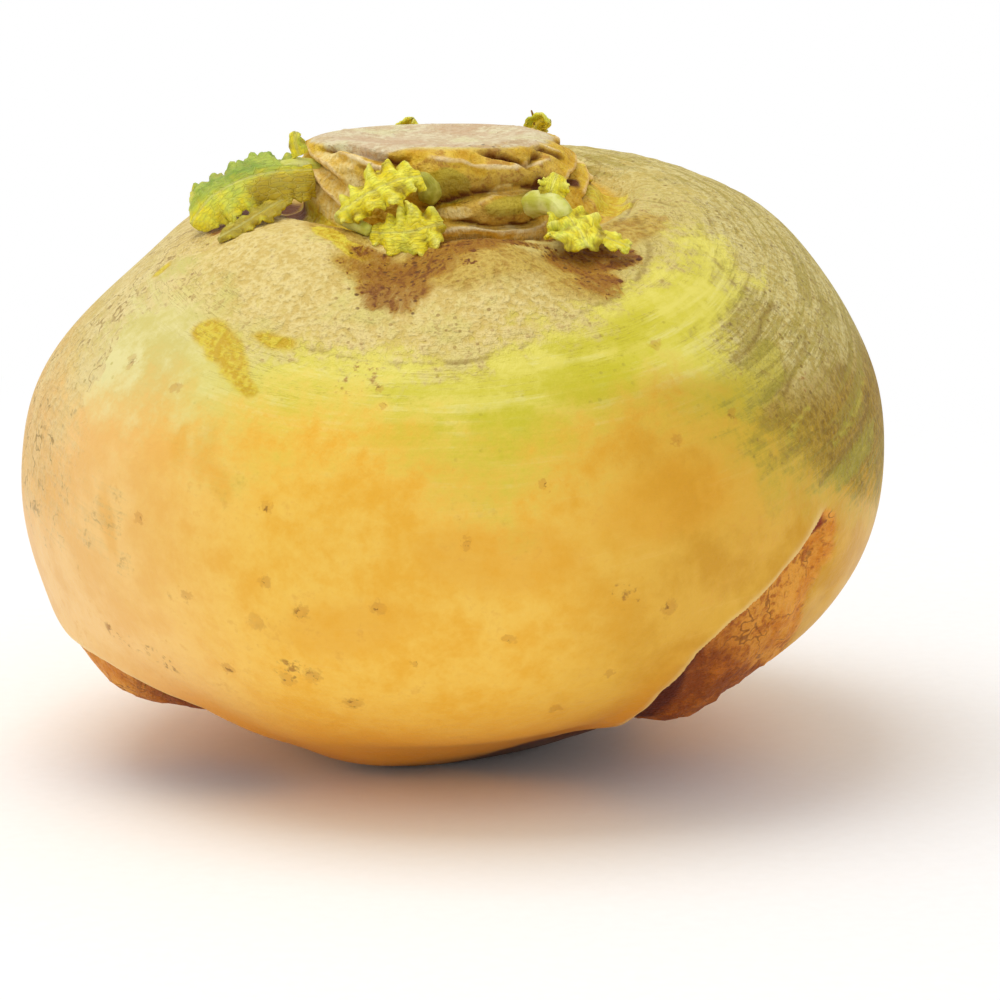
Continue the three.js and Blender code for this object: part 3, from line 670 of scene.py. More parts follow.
def makeRoot():
    rows = root["rows"]
    stops = [0, root["widest"] / spans, (root["foot"] - 1) / spans, root["rim"] / spans, 1]
    counts = np.concatenate([[0], np.cumsum(rows)])
    bpy.ops.mesh.primitive_uv_sphere_add(segments=root["segments"], ring_count=sum(rows), radius=1)
    piece = bpy.context.object

    def turnAndShare(points):
        polar = np.arccos(np.clip(points[:, 2] / np.linalg.norm(points, axis=1), -1, 1))
        row = (1 - polar / math.pi) * sum(rows)
        return np.degrees(np.arctan2(points[:, 1], points[:, 0])), np.interp(row, counts, stops)

    def isNearFurrow(middles):
        turn, share = turnAndShare(middles)
        points, faces = skinAt(share, turn)
        near = np.zeros(len(turn), bool)
        for furrow in furrows:
            past, _, there = furrowPlace(furrow, points, faces)
            near |= (past > furrowBand[0]) & (past < furrowBand[1]) & (there > 0.01)
        return near & (share < root["widest"] / spans)

    editing(piece, isNearFurrow)
    bpy.ops.mesh.subdivide(number_cuts=2)
    bpy.ops.object.mode_set(mode="OBJECT")

    turn, share = turnAndShare(pointsOf(piece))
    points, faces = skinAt(share, turn)
    radius = np.interp(share, outlineShares, outline[:, 0])
    up = np.interp(share, outlineShares, outlineLengths)
    coarse, fine = cloudy(points, 9, 1), cloudy(points, 2.6, 5)
    push = root["lumps"] * cloudy(points, 16, 2) * smooth(points[:, 2], 2, 12)
    for lobeTurn, height, upper, spread, by in root["lobes"]:
        centre, _ = skinAt(shareAtHeight(height, upper), lobeTurn)
        push += by * bell(np.linalg.norm(points - centre, axis=1), spread)

    furrowPush, *furrowMasks = furrowRelief(points, faces, turn, up, radius, coarse, fine)
    push += furrowPush

    neck = smooth(share * spans, root["foot"], root["foot"] + 1)
    scarPush, lips, shade = scarRelief(turn, up)
    push += scarPush
    for swellTurn, swellUp, wide, high, by in swellings:
        across = np.radians(wrapped(turn - swellTurn)) * neckRadius
        push += by * bell(np.hypot(across / wide, (up - swellUp) / high), 1) * neck
    creased, besideCrease, nearCrease = lineMask(creases, points)
    stripped = lineMask(strips, points)[0]
    push -= creaseDepth * creased + stripDepth * stripped

    bumpy = smooth(up, *skinSpans["bumpy"]) * (1 - smooth(up, *skinSpans["bumpyEnd"]))
    push += bumpy * (0.12 * fine + 0.1 * cloudy(points, 1.2, 7))

    points = points + faces * push[:, None]
    overFoot = np.maximum(points[:, 2] - root["neckFoot"], 0) * neck
    onNeck = smooth(points[:, 2], root["neckFoot"], root["crown"]) * neck
    slope = smooth(points[:, 2], root["waist"], root["neckFoot"]) * root["shoulderSlope"]
    slope += (root["crownSlope"] - slope) * onNeck
    points[:, 2] = np.maximum(points[:, 2] + slope * points[:, 1], 0)
    points[:, 0] -= root["leanLeft"] * overFoot + root["middle"][0]
    points[:, 1] -= root["leanFront"] * overFoot + root["middle"][1]
    movePoints(piece, points * mm)

    # the level of the growth rings, which dip at the front
    around = np.radians(turn)
    level = up + 20 * np.cos(around + math.radians(95)) * smooth(up, 0, -16)
    paint(piece, "rings", np.cos(around), np.sin(around), level * 0.1)
    paint(piece, "fibres", np.cos(around), np.sin(around), up * 0.1)
    # left and right tones: partly painted light, the skin lighter and paler on the left and darker on the right as
    # light from the left falls on it, and partly the skin's own colour
    left = smooth(np.cos(around - math.radians(190)), 0.5, 1)
    right = smooth(np.cos(around - math.radians(-20)), 0.45, 0.85)
    paint(piece, "tones", left, right, smooth(up, *skinSpans["bottom"]))
    paint(piece, "zones", *(zone * 0.1 for zone in skinZones(turn, up, radius)))
    masks = {name: patchMask(rows, turn, up, radius, coarse + 0.6 * fine) for name, rows in patches.items()}
    paint(piece, "patches", masks["ochre"], masks["orange"], masks["brown"])
    paint(piece, "neckPatches", masks["stainAndShade"], masks["yellow"], masks["olive"])
    paint(piece, "stains", masks["tawny"], smooth(up, *skinSpans["low"]), masks["leafBase"])
    front = bell(wrapped(turn + 82), 26)
    torn = 0.8 * cloudy(points, 2.6, 14) + 0.4 * cloudy(points, 0.8, 15)
    crown = smooth(up + torn - 1.3 * front + 1.5 * bell(wrapped(turn + 116), 15), *skinSpans["crown"])
    # the dark underside, painted shade which reaches furthest forward on the right
    forward = 1.5 + 6 * smooth(points[:, 0], -4, 16)
    paintedUnderShade = smooth(points[:, 2] + 0.8 * coarse, forward, forward - 2.5) * smooth(up, *skinSpans["under"])
    paint(piece, "lines", stripped, crown, paintedUnderShade)
    paint(piece, "besideCrease", besideCrease)
    paint(piece, "nearCrease", nearCrease)
    paint(piece, "furrow", *furrowMasks[:3])
    paint(piece, "furrowSide", *furrowMasks[3:], smooth(up, *skinSpans["tail"]))
    onScars = smooth(up, *skinSpans["neck"]) * (1 - smooth(up, *skinSpans["neckEnd"]))
    # painted shade: the dark below the torn edges, and the patches of painted shade
    paint(piece, "scars", lips, np.maximum(shade, masks["paintedShade"]), onScars)

    def nearestTo(placeTurn, placeUp):
        return np.argmin(np.hypot(np.radians(wrapped(turn - placeTurn)) * radius, up - placeUp))

    # where the brown spots and the rootlets lie on the finished skin
    places = []
    for spotTurn, spotUp, size in brownSpots:
        places.append([points[nearestTo(spotTurn, spotUp)] * mm, size * mm])
    hairs = []
    for hairTurn, hairUp in rootlets["places"]:
        nearest = nearestTo(hairTurn, hairUp)
        hairs.append([points[nearest] + np.array(root["middle"] + [0]), faces[nearest]])
    return piece, places, hairs


# sizes of the skin's noises, pits and curls, and heights of its bump, in metres
skinGrain = {"cloud": 0.011, "mottle": 0.0034, "grain": 0.0009, "pits": 0.0014, "curls": 0.0065}
skinRelief = {"grain": 0.00008, "coarseGrain": 0.0005, "floorGrain": 0.0006, "mottle": 0.0002, "coarseMottle": 0.0006,
              "threads": 0.0002}
skinRoughness = {"smooth": 0.42, "coarse": 0.2, "floor": 0.2}  # the last two are added
# colours of the skin, where a pattern blends the two of a pair
skinColours = {
    "skin": ["f7b934", "ffd058"],
    "leftSkin": ["f6c272", "fed288"],
    "rightSkin": ["d89e1e", "e8b43a"],
    "bottomSkin": "ee9f1e",
    "orange": "eda61c",
    "skinFleck": "e6a138",
    "skinStreak": "fdd274",
    "green": ["e9dc62", "d8cc38"],
    "leftGreen": ["d8ca72", "ebdf98"],
    "rightGreen": "bca220",
    "greenStreak": "f0e48c",
    "oliveGreen": "cfc422",
    "greenPit": "b0a032",
    "tan": ["d8ba64", "f0da90"],
    "rightTan": ["c4ae54", "dac876"],
    "tawny": ["ac7e18", "d4b448"],
    "tanCloud": "e2d97c",
    "tanFleck": "b08440",
    "tanPit": "8c5c18",
    "russet": ["c4ac58", "e0d088"],
    "duskyRusset": ["906e10", "b8942a"],
    "leftRusset": ["d0a65c", "ecce90"],
    "russetStreak": "aa9632",
    "russetFleck": "947032",
    "russetPit": "7c5a20",
    "strip": ["c9b944", "a3942a"],
    "curl": "94702e",
    "ochre": ["cfa818", "e0c83a"],
    "brown": "a46c20",
    "spotEdge": "b8701c",
    "spotMiddle": "7a4408",
    "crackAndCreaseShade": "927426",
    "neck": ["d09a06", "ecc636"],
    "neckCloud": "efcb66",
    "neckFleck": "a85c0c",
    "yellow": ["d4ae0c", "e8d63a"],
    "olive": ["b1960e", "c6b036"],
    "leafBase": ["e8be50", "fae29a"],
    "lip": ["f3c878", "fde6b0"],
    "paintedShade": "6a3600",
    "dried": ["d3b98e", "e9dcb4"],
    "driedBrown": "cba27a",
    "driedGreen": "dcd498",
    "stainAndShadeBase": ["9a6000", "c29212"],
    "stainAndShadeBrown": "7a3802",
    "stainAndShadeDark": "5c2602",
    "stainAndShadePit": "4a2404",
    "floor": ["dc8412", "f0a63a"],
    "floorRed": "a84e06",
    "floorCurl": "7c3a04",
    "depth": ["8a3a04", "bc640c"],
    "edge": ["8e3404", "5e2002"],
    "warm": "e08a14",
    "rim": "f8d680",
    "underShade": ["3c1a04", "6a3408"],
    "tail": "6a4420",
}


def skinMaterial(spotPlaces):
    shader = Shader("rootSkin", Specular_IOR_Level=0.3)
    hues = skinColours
    place = shader.place()
    rings, fibres = shader.attribute("rings", "Vector"), shader.attribute("fibres", "Vector")
    # left and right are partly painted light: lighter on the left, darker on the right
    left, right, bottom = shader.parts("tones")
    shoulder, russet, green = shader.parts("zones")
    ochre, orange, brown = shader.parts("patches")
    stainAndShade, yellow, olive = shader.parts("neckPatches")
    tawny, low, leafBase = shader.parts("stains")
    strip, crown, paintedUnderShade = shader.parts("lines")
    besideCrease, nearCrease = shader.attribute("besideCrease"), shader.attribute("nearCrease")
    floor, edge, deep = shader.parts("furrow")
    rim, warm, tail = shader.parts("furrowSide")
    lip, shade, neck = shader.parts("scars")

    # unevenness from 11 mm down to a quarter of one, with 0 as its middle
    cloud = shader.noise(place, skinGrain["cloud"], 6, 0.62) - 0.5
    mottle = shader.noise(place, skinGrain["mottle"], 4, 0.7) - 0.5
    grain = shader.noise(place, skinGrain["grain"], 2, 0.6) - 0.5
    streaks = shader.noise(shader.stretched(rings, 2.4, 2.4, 7), 1, 6, 0.7, 0.5) - 0.5
    threads = shader.noise(shader.stretched(fibres, 30, 30, 3), 1, 2, 0.6, 0.8) - 0.5
    patchy, speckle = cloud + mottle, grain + mottle
    ragged = cloud * 1.4 + mottle * 1.1 + grain * 0.4
    pits = shader.dots(place, skinGrain["pits"], 0.26, 0.55)
    curls = (shader.noise(place, skinGrain["curls"], 3, 0.6) - 0.5).lineAtZero(0.02, 0.004)

    # the smooth lower skin, from peach on the left to deep gold on the right and below; the lighter left and darker
    # right are partly painted light
    clouded = cloud.steps(-0.12, 0.12)
    skin = shader.coated(
        shader.mix((cloud * 0.7 + mottle * 0.8).steps(-0.22, 0.2), *hues["skin"]),
        (left, shader.mix(clouded, *hues["leftSkin"])),
        (right, shader.mix(clouded, *hues["rightSkin"])),
        (bottom * 0.8, hues["bottomSkin"]),
        ((orange + ragged).steps(-0.1, 1.6) * 0.55, hues["orange"]),
        ((mottle + grain * 0.5 + cloud * 0.5).steps(0.1, 0.3) * 0.3, hues["skinFleck"]),
        ((streaks + cloud * 0.4).steps(0.08, 0.3) * 0.25, hues["skinStreak"]))

    # the green band
    greens = shader.coated(
        shader.mix((cloud + mottle * 0.5 + streaks * 0.5).steps(-0.16, 0.16), *hues["green"]),
        ((streaks * -1 + mottle * 0.8).steps(0.03, 0.2) * 0.5, hues["greenStreak"]),
        ((olive + ragged).steps(0.1, 1.1) * 0.75, hues["oliveGreen"]),
        (right * low.steps(0, 0.4) * 0.65, hues["rightGreen"]),
        (left * 1.6, shader.mix((cloud + mottle * 0.8).steps(-0.15, 0.15), *hues["leftGreen"])),
        (pits * patchy.steps(-0.02, 0.15) * 0.5, hues["greenPit"]))
    inGreen = green * 10 + streaks * 6 + cloud * 28 + mottle * 16
    base = shader.mix(inGreen.steps(-9, 11), skin, greens)

    # the rough tan shoulder, greener on its right
    sandy = speckle.steps(-0.2, 0.2)
    tans = shader.coated(
        shader.mix((grain + mottle * 0.8).steps(-0.2, 0.2), *hues["tan"]),
        ((cloud + mottle * 0.3).steps(-0.04, 0.14) * 0.6, hues["tanCloud"]),
        (right * 0.7, shader.mix(sandy, *hues["rightTan"])),
        ((tawny + ragged * 0.8).steps(0, 0.9) * 0.85, shader.mix(sandy, *hues["tawny"])),
        ((speckle + cloud * 0.5).steps(0.08, 0.3) * 0.5, hues["tanFleck"]),
        (pits * patchy.steps(-0.15, 0.1) * 0.65, hues["tanPit"]))
    inShoulder = shoulder * 10 + cloud * 26 + mottle * 18 + grain * 6
    base = shader.mix(inShoulder.steps(-3.5, 3.5), base, tans)

    # the russet flank, light above and dusky below, thinner on the left
    rusty = (grain + mottle * 0.7).steps(-0.18, 0.16)
    skinStrips = shader.mix((streaks + mottle * 0.5).steps(-0.1, 0.15), *hues["strip"])
    russets = shader.coated(
        shader.mix(rusty, *hues["russet"]),
        ((low + cloud).steps(0.2, 0.9), shader.mix(rusty, *hues["duskyRusset"])),
        ((cloud * 0.5 + streaks * 1.4).steps(-0.04, 0.14) * 0.7, hues["russetStreak"]),
        (left, shader.mix(speckle.steps(-0.18, 0.16), *hues["leftRusset"])),
        (speckle.steps(0.1, 0.3) * 0.5, hues["russetFleck"]),
        (pits * 0.6, hues["russetPit"]),
        (strip.torn(ragged * 1.2, 0.2, 0.9) * 0.8, skinStrips))
    inRusset = (russet * 10 + cloud * 22 + streaks * 28 + mottle * 24 + grain * 8).steps(-6, 6)

    # small marks of the flank
    fine = speckle.steps(-0.15, 0.15)
    spots = shader.spots(place, spotPlaces, speckle * 0.003)
    base = shader.coated(
        base,
        (inRusset * (1 - left * 0.5), russets),
        (curls * inRusset * (0.35 + left * 0.3) * patchy.steps(-0.1, 0.1), hues["curl"]),
        (ochre.torn(ragged * 1.1, 0.1, 0.9), shader.mix(fine, *hues["ochre"])),
        ((speckle + cloud * 0.3).steps(0, 0.22) * brown.steps(0.05, 0.5) * 0.75, hues["brown"]),
        (spots * (0.3 + mottle), hues["spotEdge"]),
        (spots * grain.steps(0.02, 0.12) * 0.7, hues["spotMiddle"]))
    # painted shade: the creases are darkened along their line
    crease = (besideCrease + mottle * 1.6 + grain * 0.6).lineAtZero(0.7, 0.05)
    crease = crease * nearCrease.steps(0.2, 0.8) * patchy.steps(-0.2, 0.12)

    # fine cracks that follow the rings, on the flank and along the shoulder's lower edge
    cracked = (shoulder.steps(-1.1, -0.3) * shoulder.steps(1.2, 0.4)).larger(inRusset * (1 - left))
    cracks = (streaks + mottle * 0.08).lineAtZero(0.014, 0.003)
    cracks = cracks * cracked * (cloud + mottle * 0.5).steps(-0.08, 0.06)
    base = shader.mix((crease * 0.6).larger(cracks * 0.5), base, hues["crackAndCreaseShade"])

    # the neck and its torn edges
    necks = shader.mix((threads * 0.3 + mottle).steps(-0.2, 0.2), *hues["neck"])
    necks = shader.mix((cloud + mottle * 0.4).steps(-0.05, 0.15) * 0.5, necks, hues["neckCloud"])
    leafBase = leafBase.torn(ragged * 0.5, 0.15, 0.7) * neck
    # painted shade in the grooves below the torn edges and in the shade patches, less on the lips and pale leaf bases
    paintedShade = (shade * 1.1 - lip * 0.7 - leafBase * 0.5 + mottle * 0.8) * shade.steps(0.02, 0.2)
    base = shader.coated(
        base,
        (neck, necks),
        ((mottle + cloud * 0.6 + grain * 0.5).steps(0.06, 0.22) * neck * 0.6, hues["neckFleck"]),
        (yellow.torn(ragged, 0.2, 0.7) * 0.85, shader.mix(fine, *hues["yellow"])),
        ((olive + ragged * 0.5).steps(0.25, 0.75) * neck * 0.9,
         shader.mix(patchy.steps(-0.15, 0.15), *hues["olive"])),
        (leafBase * 0.85, shader.mix((mottle + threads * 0.4).steps(-0.15, 0.15), *hues["leafBase"])),
        ((lip + mottle * 0.8).steps(0.25, 0.9) * 0.85, shader.mix(cloud.steps(-0.1, 0.1), *hues["lip"])),
        (paintedShade, hues["paintedShade"]))

    # the dried cut of the crown
    dried = shader.coated(
        shader.mix(fine, *hues["dried"]),
        ((cloud + mottle * 0.6).steps(-0.02, 0.12) * 0.6, hues["driedBrown"]),
        ((cloud * -1 + mottle * 0.4).steps(0.02, 0.14) * 0.5, hues["driedGreen"]))
    base = shader.mix(crown, base, dried)

    # the stained skin below the neck, which also holds painted shade under the sprouts and under the left leaf
    fibrous = (stainAndShade + cloud + mottle * 1.2 + grain * 0.8 + threads * 1.4).steps(0.1, 1.25)
    fibrous = fibrous * stainAndShade.steps(0.02, 0.4) * (1 - neck) * (1 - crown * 0.6)
    base = shader.coated(
        base,
        (fibrous.steps(0, 0.9) * 0.9, shader.mix((threads + grain + mottle).steps(-0.15, 0.2), *hues["stainAndShadeBase"])),
        ((fibrous + threads * 1.6 + mottle * 1.4 + grain).steps(0.72, 1.2) * 0.8, hues["stainAndShadeBrown"]),
        ((mottle + grain * 1.2).steps(0.08, 0.24) * fibrous.steps(0.3, 0.9) * 0.7, hues["stainAndShadeDark"]),
        (pits * stainAndShade.steps(0.05, 0.5) * (1 - neck) * 0.7, hues["stainAndShadePit"]))

    # the furrows: orange at their upper ends and dark red-brown below; the dark band past each lip is painted shadow,
    # and the pale line along it a painted highlight
    floors = shader.coated(
        shader.mix(patchy.steps(-0.15, 0.15), *hues["floor"]),
        ((mottle * -1 + cloud + grain).steps(0.02, 0.25) * 0.75, hues["floorRed"]),
        (deep * (1.1 + cloud), shader.mix(patchy.steps(-0.12, 0.15), *hues["depth"])),
        (curls * patchy.steps(-0.1, 0.08) * 0.7, hues["floorCurl"]))
    inFloor = (floor + ragged * 0.8).steps(0.05, 0.8) * floor.steps(0.01, 0.3)
    inEdge = (edge * 1.5 + cloud + mottle * 1.4).steps(0.3, 1.1) * edge.steps(0, 0.2)
    base = shader.coated(
        base,
        (warm * 0.6, hues["warm"]),
        (inFloor * 0.95, floors),
        # painted shadow past each lip, and a painted highlight along it
        (inEdge, shader.mix(deep + cloud, *hues["edge"])),
        (rim * 0.6, hues["rim"]),
        # painted shade on the underside
        ((paintedUnderShade + ragged * 0.4).steps(0.1, 0.7), shader.mix((cloud + grain).steps(-0.1, 0.1), *hues["underShade"])),
        (tail * 0.5, hues["tail"]))
    shader.feed("Base Color", base)

    coarse = shoulder.steps(-0.4, 0.3).larger(russet.steps(-0.5, 0.4))
    rough, relief = skinRoughness, skinRelief
    shader.feed("Roughness", rough["smooth"] + coarse * rough["coarse"] + floor * rough["floor"])
    uneven = grain * (coarse * relief["coarseGrain"] + floor * relief["floorGrain"] + relief["grain"])
    uneven = uneven + mottle * (coarse * relief["coarseMottle"] + relief["mottle"])
    shader.bump(uneven + threads * neck * relief["threads"])
    return shader.material


rootPiece, brownPlaces, rootletPlaces = makeRoot()
finishPiece(rootPiece, "root_skin", skinMaterial(brownPlaces), ["root"])
print("root made", len(rootPiece.data.polygons))


# Sprouts

# young leaves on short stalks. line is the middle of each, in mm, from its base to its tip. A stalk has a
# radius at each point of its line, and a leaf half a width. up is the way that a leaf's upper face looks.
stalks = [
    {"name": "left_sprout_stalk", "line": [[-17.2, -7.2, 80.8], [-20.5, -8.4, 81.4], [-23.4, -9.6, 81.2]],
     "radii": [1.6, 1.5, 1.2]},
    {"name": "middle_sprout_stalk", "line": [[-3, -15.4, 79], [-2.9, -19.2, 80], [-4, -20.8, 82.2]],
     "radii": [1.9, 1.6, 0.9], "olive": 0.75},
    {"name": "middle_sprout_side_stalk", "line": [[-14.8, -16.2, 76], [-13.2, -20, 75.8], [-10.4, -23, 74.9]],
     "radii": [1, 1, 0.8]},
    {"name": "right_sprout_stalk",
     "line": [[9.6, -13.4, 76.4], [11.4, -17.2, 77.9], [13.6, -19.6, 78], [15.2, -21, 76.2]],
     "radii": [1.5, 1.7, 1.6, 1.4]},
    {"name": "back_right_sprout_stalk", "line": [[9.2, 12.6, 78.4], [10.4, 14.8, 80.8], [10.9, 15, 82.8]],
     "radii": [1.5, 1.4, 0.9]},
]
stalkShape = {"sides": 24, "rows": 28, "ribs": 6, "ribDepth": 0.04, "lumps": 0.03}

leaves = [
    {"name": "left_sprout_leaf",
     "line": [[-18.6, -9.6, 81.4], [-23, -10.9, 81.3], [-26, -11.3, 80.8], [-29, -11.7, 79.8],
              [-32.4, -12, 77.6], [-34.8, -12, 74.4]],
     "up": [-0.3, -0.7, 0.65], "halfWidths": [3.4, 4.2, 4.4, 4.4, 4, 2.2], "arch": 1.7, "ruffle": 0.5, "green": 1.3,
     "baseShade": 0.9, "ruffleLength": 8, "crinkle": 0.1, "frill": 0.4, "teeth": 0.1, "lobes": 0.16},
    {"name": "left_sprout_under_leaf",
     "line": [[-22, -13, 78], [-24.6, -15.2, 76.8], [-27.6, -17.4, 75.1], [-30.6, -19, 73.6]],
     "up": [-0.2, -0.5, 0.8], "halfWidths": [1, 1.8, 1.6, 0.8], "arch": 0.4, "ruffle": 0.35, "green": 0.5,
     "crinkle": 0.15, "wholeShade": 0.7},
    {"name": "left_sprout_tip_leaf", "line": [[-20.4, -9.3, 83.2], [-20.8, -9, 84.6], [-21, -8.4, 86.2]],
     "up": [-0.3, -1, 0], "halfWidths": [1.1, 1.2, 0.4], "arch": 0.4, "ruffle": 0.2, "green": 0.6},
    {"name": "middle_sprout_upper_leaf",
     "line": [[-3.8, -21.2, 82], [-7, -22.2, 81.6], [-10.4, -22.4, 80.1], [-13.2, -21.8, 78.2], [-15, -21, 76.8]],
     "up": [-0.2, -0.75, 0.6], "halfWidths": [1.6, 2.8, 3, 2.4, 1], "arch": 0.6, "ruffle": 0.9, "green": 0.1},
    {"name": "middle_sprout_lower_leaf",
     "line": [[-10.4, -23.2, 74.9], [-7.4, -24.8, 75], [-4.6, -25.2, 75.4], [-1, -24.2, 76.3]],
     "up": [0.1, -0.85, 0.5], "halfWidths": [1.4, 3, 3.6, 2.4], "arch": 0.4, "ruffle": 0.8, "green": 0.2},
    {"name": "right_sprout_upper_leaf", "line": [[12.8, -19.6, 78.6], [13.3, -19.6, 80.4], [13.9, -18.6, 81.9]],
     "up": [-0.1, -1, 0.3], "halfWidths": [1.2, 2, 1.4], "arch": 0.3, "ruffle": 0.3, "green": 0.05},
    {"name": "right_sprout_leaf",
     "line": [[14.2, -20.2, 77.6], [15.8, -22, 76.2], [17, -24, 74.8], [17.8, -26.2, 73.4]],
     "up": [0.2, -0.6, 0.75], "halfWidths": [1.6, 3.8, 4, 2.2], "arch": 0.5, "ruffle": 0.8, "green": 0.3},
    {"name": "right_sprout_tip_leaf", "line": [[20.2, -24.8, 74.5], [21.9, -25.4, 73.8], [23.4, -25.6, 73.3]],
     "up": [0.2, -0.6, 0.75], "halfWidths": [1, 1.5, 1], "arch": 0.3, "ruffle": 0.35, "green": 0.3},
    {"name": "back_left_sprout_leaf",
     "line": [[-6.4, 20.6, 78.6], [-6.6, 21.4, 81.4], [-6.4, 21, 83.6], [-5.8, 19.8, 85]],
     "up": [-0.1, 1, 0.2], "halfWidths": [1, 1.8, 2, 1], "arch": 0.8, "ruffle": 0.35, "green": 0.7},
    {"name": "back_right_sprout_leaf",
     "line": [[11, 15.3, 82.8], [11.3, 15.4, 84.2], [12, 15.2, 85.1], [13.4, 14.4, 85.2]],
     "up": [0.1, 0.9, 0.5], "halfWidths": [1, 1.6, 1.6, 0.7], "arch": 0.6, "ruffle": 0.35, "green": 0.7},
]
leafShape = {
    "along": 84,
    "across": 44,
    "ruffleLength": 2.5,
    "lobes": 0.2,  # how far the edge goes in and out, as a share of the width
    "teeth": 0.17,
    "crinkle": 0.3,
    "frill": 0.5,
    # painted shade: the first darkens a whole leaf that lies in shade, the second the lower edge near a leaf's base
    "wholeShade": 0,
    "baseShade": 0,
    "channel": 0.25,
    "thickness": 0.42,
}


def alongCurve(points, share):
    # places along a line, evenly by length, and the way it runs there
    curve = curveThrough(points)
    lengths = np.concatenate([[0], np.cumsum(np.linalg.norm(np.diff(curve, axis=0), axis=1))])
    place = [np.interp(share * lengths[-1], lengths, curve[:, i]) for i in range(3)]
    runs = np.gradient(curve, axis=0)
    run = np.stack([np.interp(share * lengths[-1], lengths, runs[:, i]) for i in range(3)], -1)
    return np.stack(place, -1), run / np.linalg.norm(run, axis=1, keepdims=True), lengths[-1]


def acrossWays(run, up):
    # the two ways at right angles to a run, the second one close to up
    side = np.cross(run, up)
    side /= np.linalg.norm(side, axis=1, keepdims=True)
    return side, np.cross(side, run)


def centred(points):
    # from the maker's axis of the root to the part's own middle
    return (points - np.array(root["middle"] + [0])) * mm


def makeStalk(stalk):
    bpy.ops.mesh.primitive_uv_sphere_add(segments=stalkShape["sides"], ring_count=stalkShape["rows"], radius=1)
    piece = bpy.context.object
    ball = pointsOf(piece)
    polar = np.arccos(np.clip(ball[:, 2], -1, 1))
    around = np.arctan2(ball[:, 1], ball[:, 0])
    share = 1 - polar / math.pi
    place, run, length = alongCurve(stalk["line"], share)
    side, out = acrossWays(run, [0.3, 0.2, 1])
    radius = np.interp(share, np.linspace(0, 1, len(stalk["radii"])), stalk["radii"])
    rounded = np.sqrt(1 - np.clip(1 - np.minimum(share, 1 - share) * length / (0.8 * radius), 0, 1) ** 2)
    ribs = 1 + stalkShape["ribDepth"] * np.cos(around * stalkShape["ribs"])
    radius = radius * rounded * ribs * (1 + stalkShape["lumps"] * cloudy(place, 1.6, 4))
    points = place + (side * np.cos(around)[:, None] + out * np.sin(around)[:, None]) * radius[:, None]
    movePoints(piece, centred(points))
    faceOutwards(piece)
    paint(piece, "stem", np.cos(around), np.sin(around), share * length / 10)
    paint(piece, "olive", np.full(len(points), stalk.get("olive", 0)))
    return piece


def makeLeaf(leaf, seed):
    shape = {**leafShape, **leaf}
    bpy.ops.mesh.primitive_grid_add(x_subdivisions=shape["along"], y_subdivisions=shape["across"], size=2)
    piece = bpy.context.object
    flat = pointsOf(piece)
    share, across = (flat[:, 0] + 1) / 2, flat[:, 1]
    place, run, length = alongCurve(leaf["line"], share)
    side, out = acrossWays(run, leaf["up"])
    widths = leaf["halfWidths"]
    wide = np.interp(share, np.linspace(0, 1, len(widths)), widths)
    tip = np.clip((1 - share) * length / (0.9 * widths[-1]), 0, 1)
    wide = wide * np.sqrt(1 - (1 - tip) ** 2 * 0.96)

    # the edge's lobes and teeth, which differ on the two sides
    along = share * length
    edge = np.stack([along, np.sign(across) * 9, np.full(len(along), seed * 5.0)], -1)
    lobed = shape["lobes"] * cloudy(edge, 1.7, 8) + shape["teeth"] * cloudy(edge, 0.5, 9)
    reach = wide * across * (1 + lobed * smooth(np.abs(across), 0.2, 1) * 1.6)

    # ruffles that grow towards the edge, and sharp folds all over
    wander = 1.6 * cloudy(edge * [0.6, 1, 1], 2.2, 10)
    wave = np.sin(2 * math.pi * along / shape["ruffleLength"] + wander * 2 + np.sign(across) * 1.2 + seed)
    ruffle = shape["ruffle"] * wave * np.abs(across) ** 1.6 * (0.4 + 0.6 * smooth(along, 0, 2))
    body = np.stack([along, reach, np.full(len(along), seed * 3.0)], -1)
    ridges = 0.85 - 2.4 * np.abs(cloudy(body, 2, 11)) - 1.4 * np.abs(cloudy(body, 0.9, 12))
    crinkle = shape["crinkle"] * ridges * smooth(along, 0, 1.5) * (0.5 + 0.5 * np.abs(across))
    channel = shape["channel"] * bell(reach, 0.35) * (1 - 0.6 * share)
    height = ruffle - leaf["arch"] * across ** 2 + crinkle - channel
    frill = np.stack([cloudy(body, 1.1, seed + i) for i in (20, 40)], -1)
    frill *= shape["frill"] * np.abs(across)[:, None] ** 2
    points = place + side * (reach + 0.3 * ruffle * np.sign(across) + frill[:, 0])[:, None]
    points = points + out * height[:, None] + run * frill[:, 1:]
    movePoints(piece, centred(points))
    # the fold colour: painted highlight on the crests of the ruffles and crinkles, and painted shade in their hollows
    fold = 0.35 * ruffle / max(shape["ruffle"], 0.1) + 2.2 * crinkle - shape["wholeShade"]
    # painted shade along the lower edge near the base
    fold -= shape["baseShade"] * (1 - smooth(share, 0.3, 0.65)) * smooth(-across, -0.3, 0.6)
    paint(piece, "blade", reach / 4, along / 10, across)
    paint(piece, "fold", fold)
    paint(piece, "green", shape["green"] * bell(share - 0.5, 0.5) * (0.35 + 0.65 * smooth(across, -0.3, 0.6)))
    addModifier(piece, "SOLIDIFY", thickness=shape["thickness"] * mm, offset=0)
    faceOutwards(piece)
    return piece


def rootletMaterial():
    shader = Shader("rootletSkin", Roughness=0.8, Specular_IOR_Level=0.2)
    grain = shader.noise(shader.place(), 0.0006, 3, 0.6)
    shader.feed("Base Color", shader.mix(grain.steps(0.35, 0.65), *rootlets["colours"]))
    shader.bump(grain * 0.0001)
    return shader.material


stalkColours = {
    "pale": ["d0d052", "e8e68c"],
    "olive": ["9c9414", "c4bc3c"],
    "fibre": "bdbb40",
    "fleck": "a3952a",
}


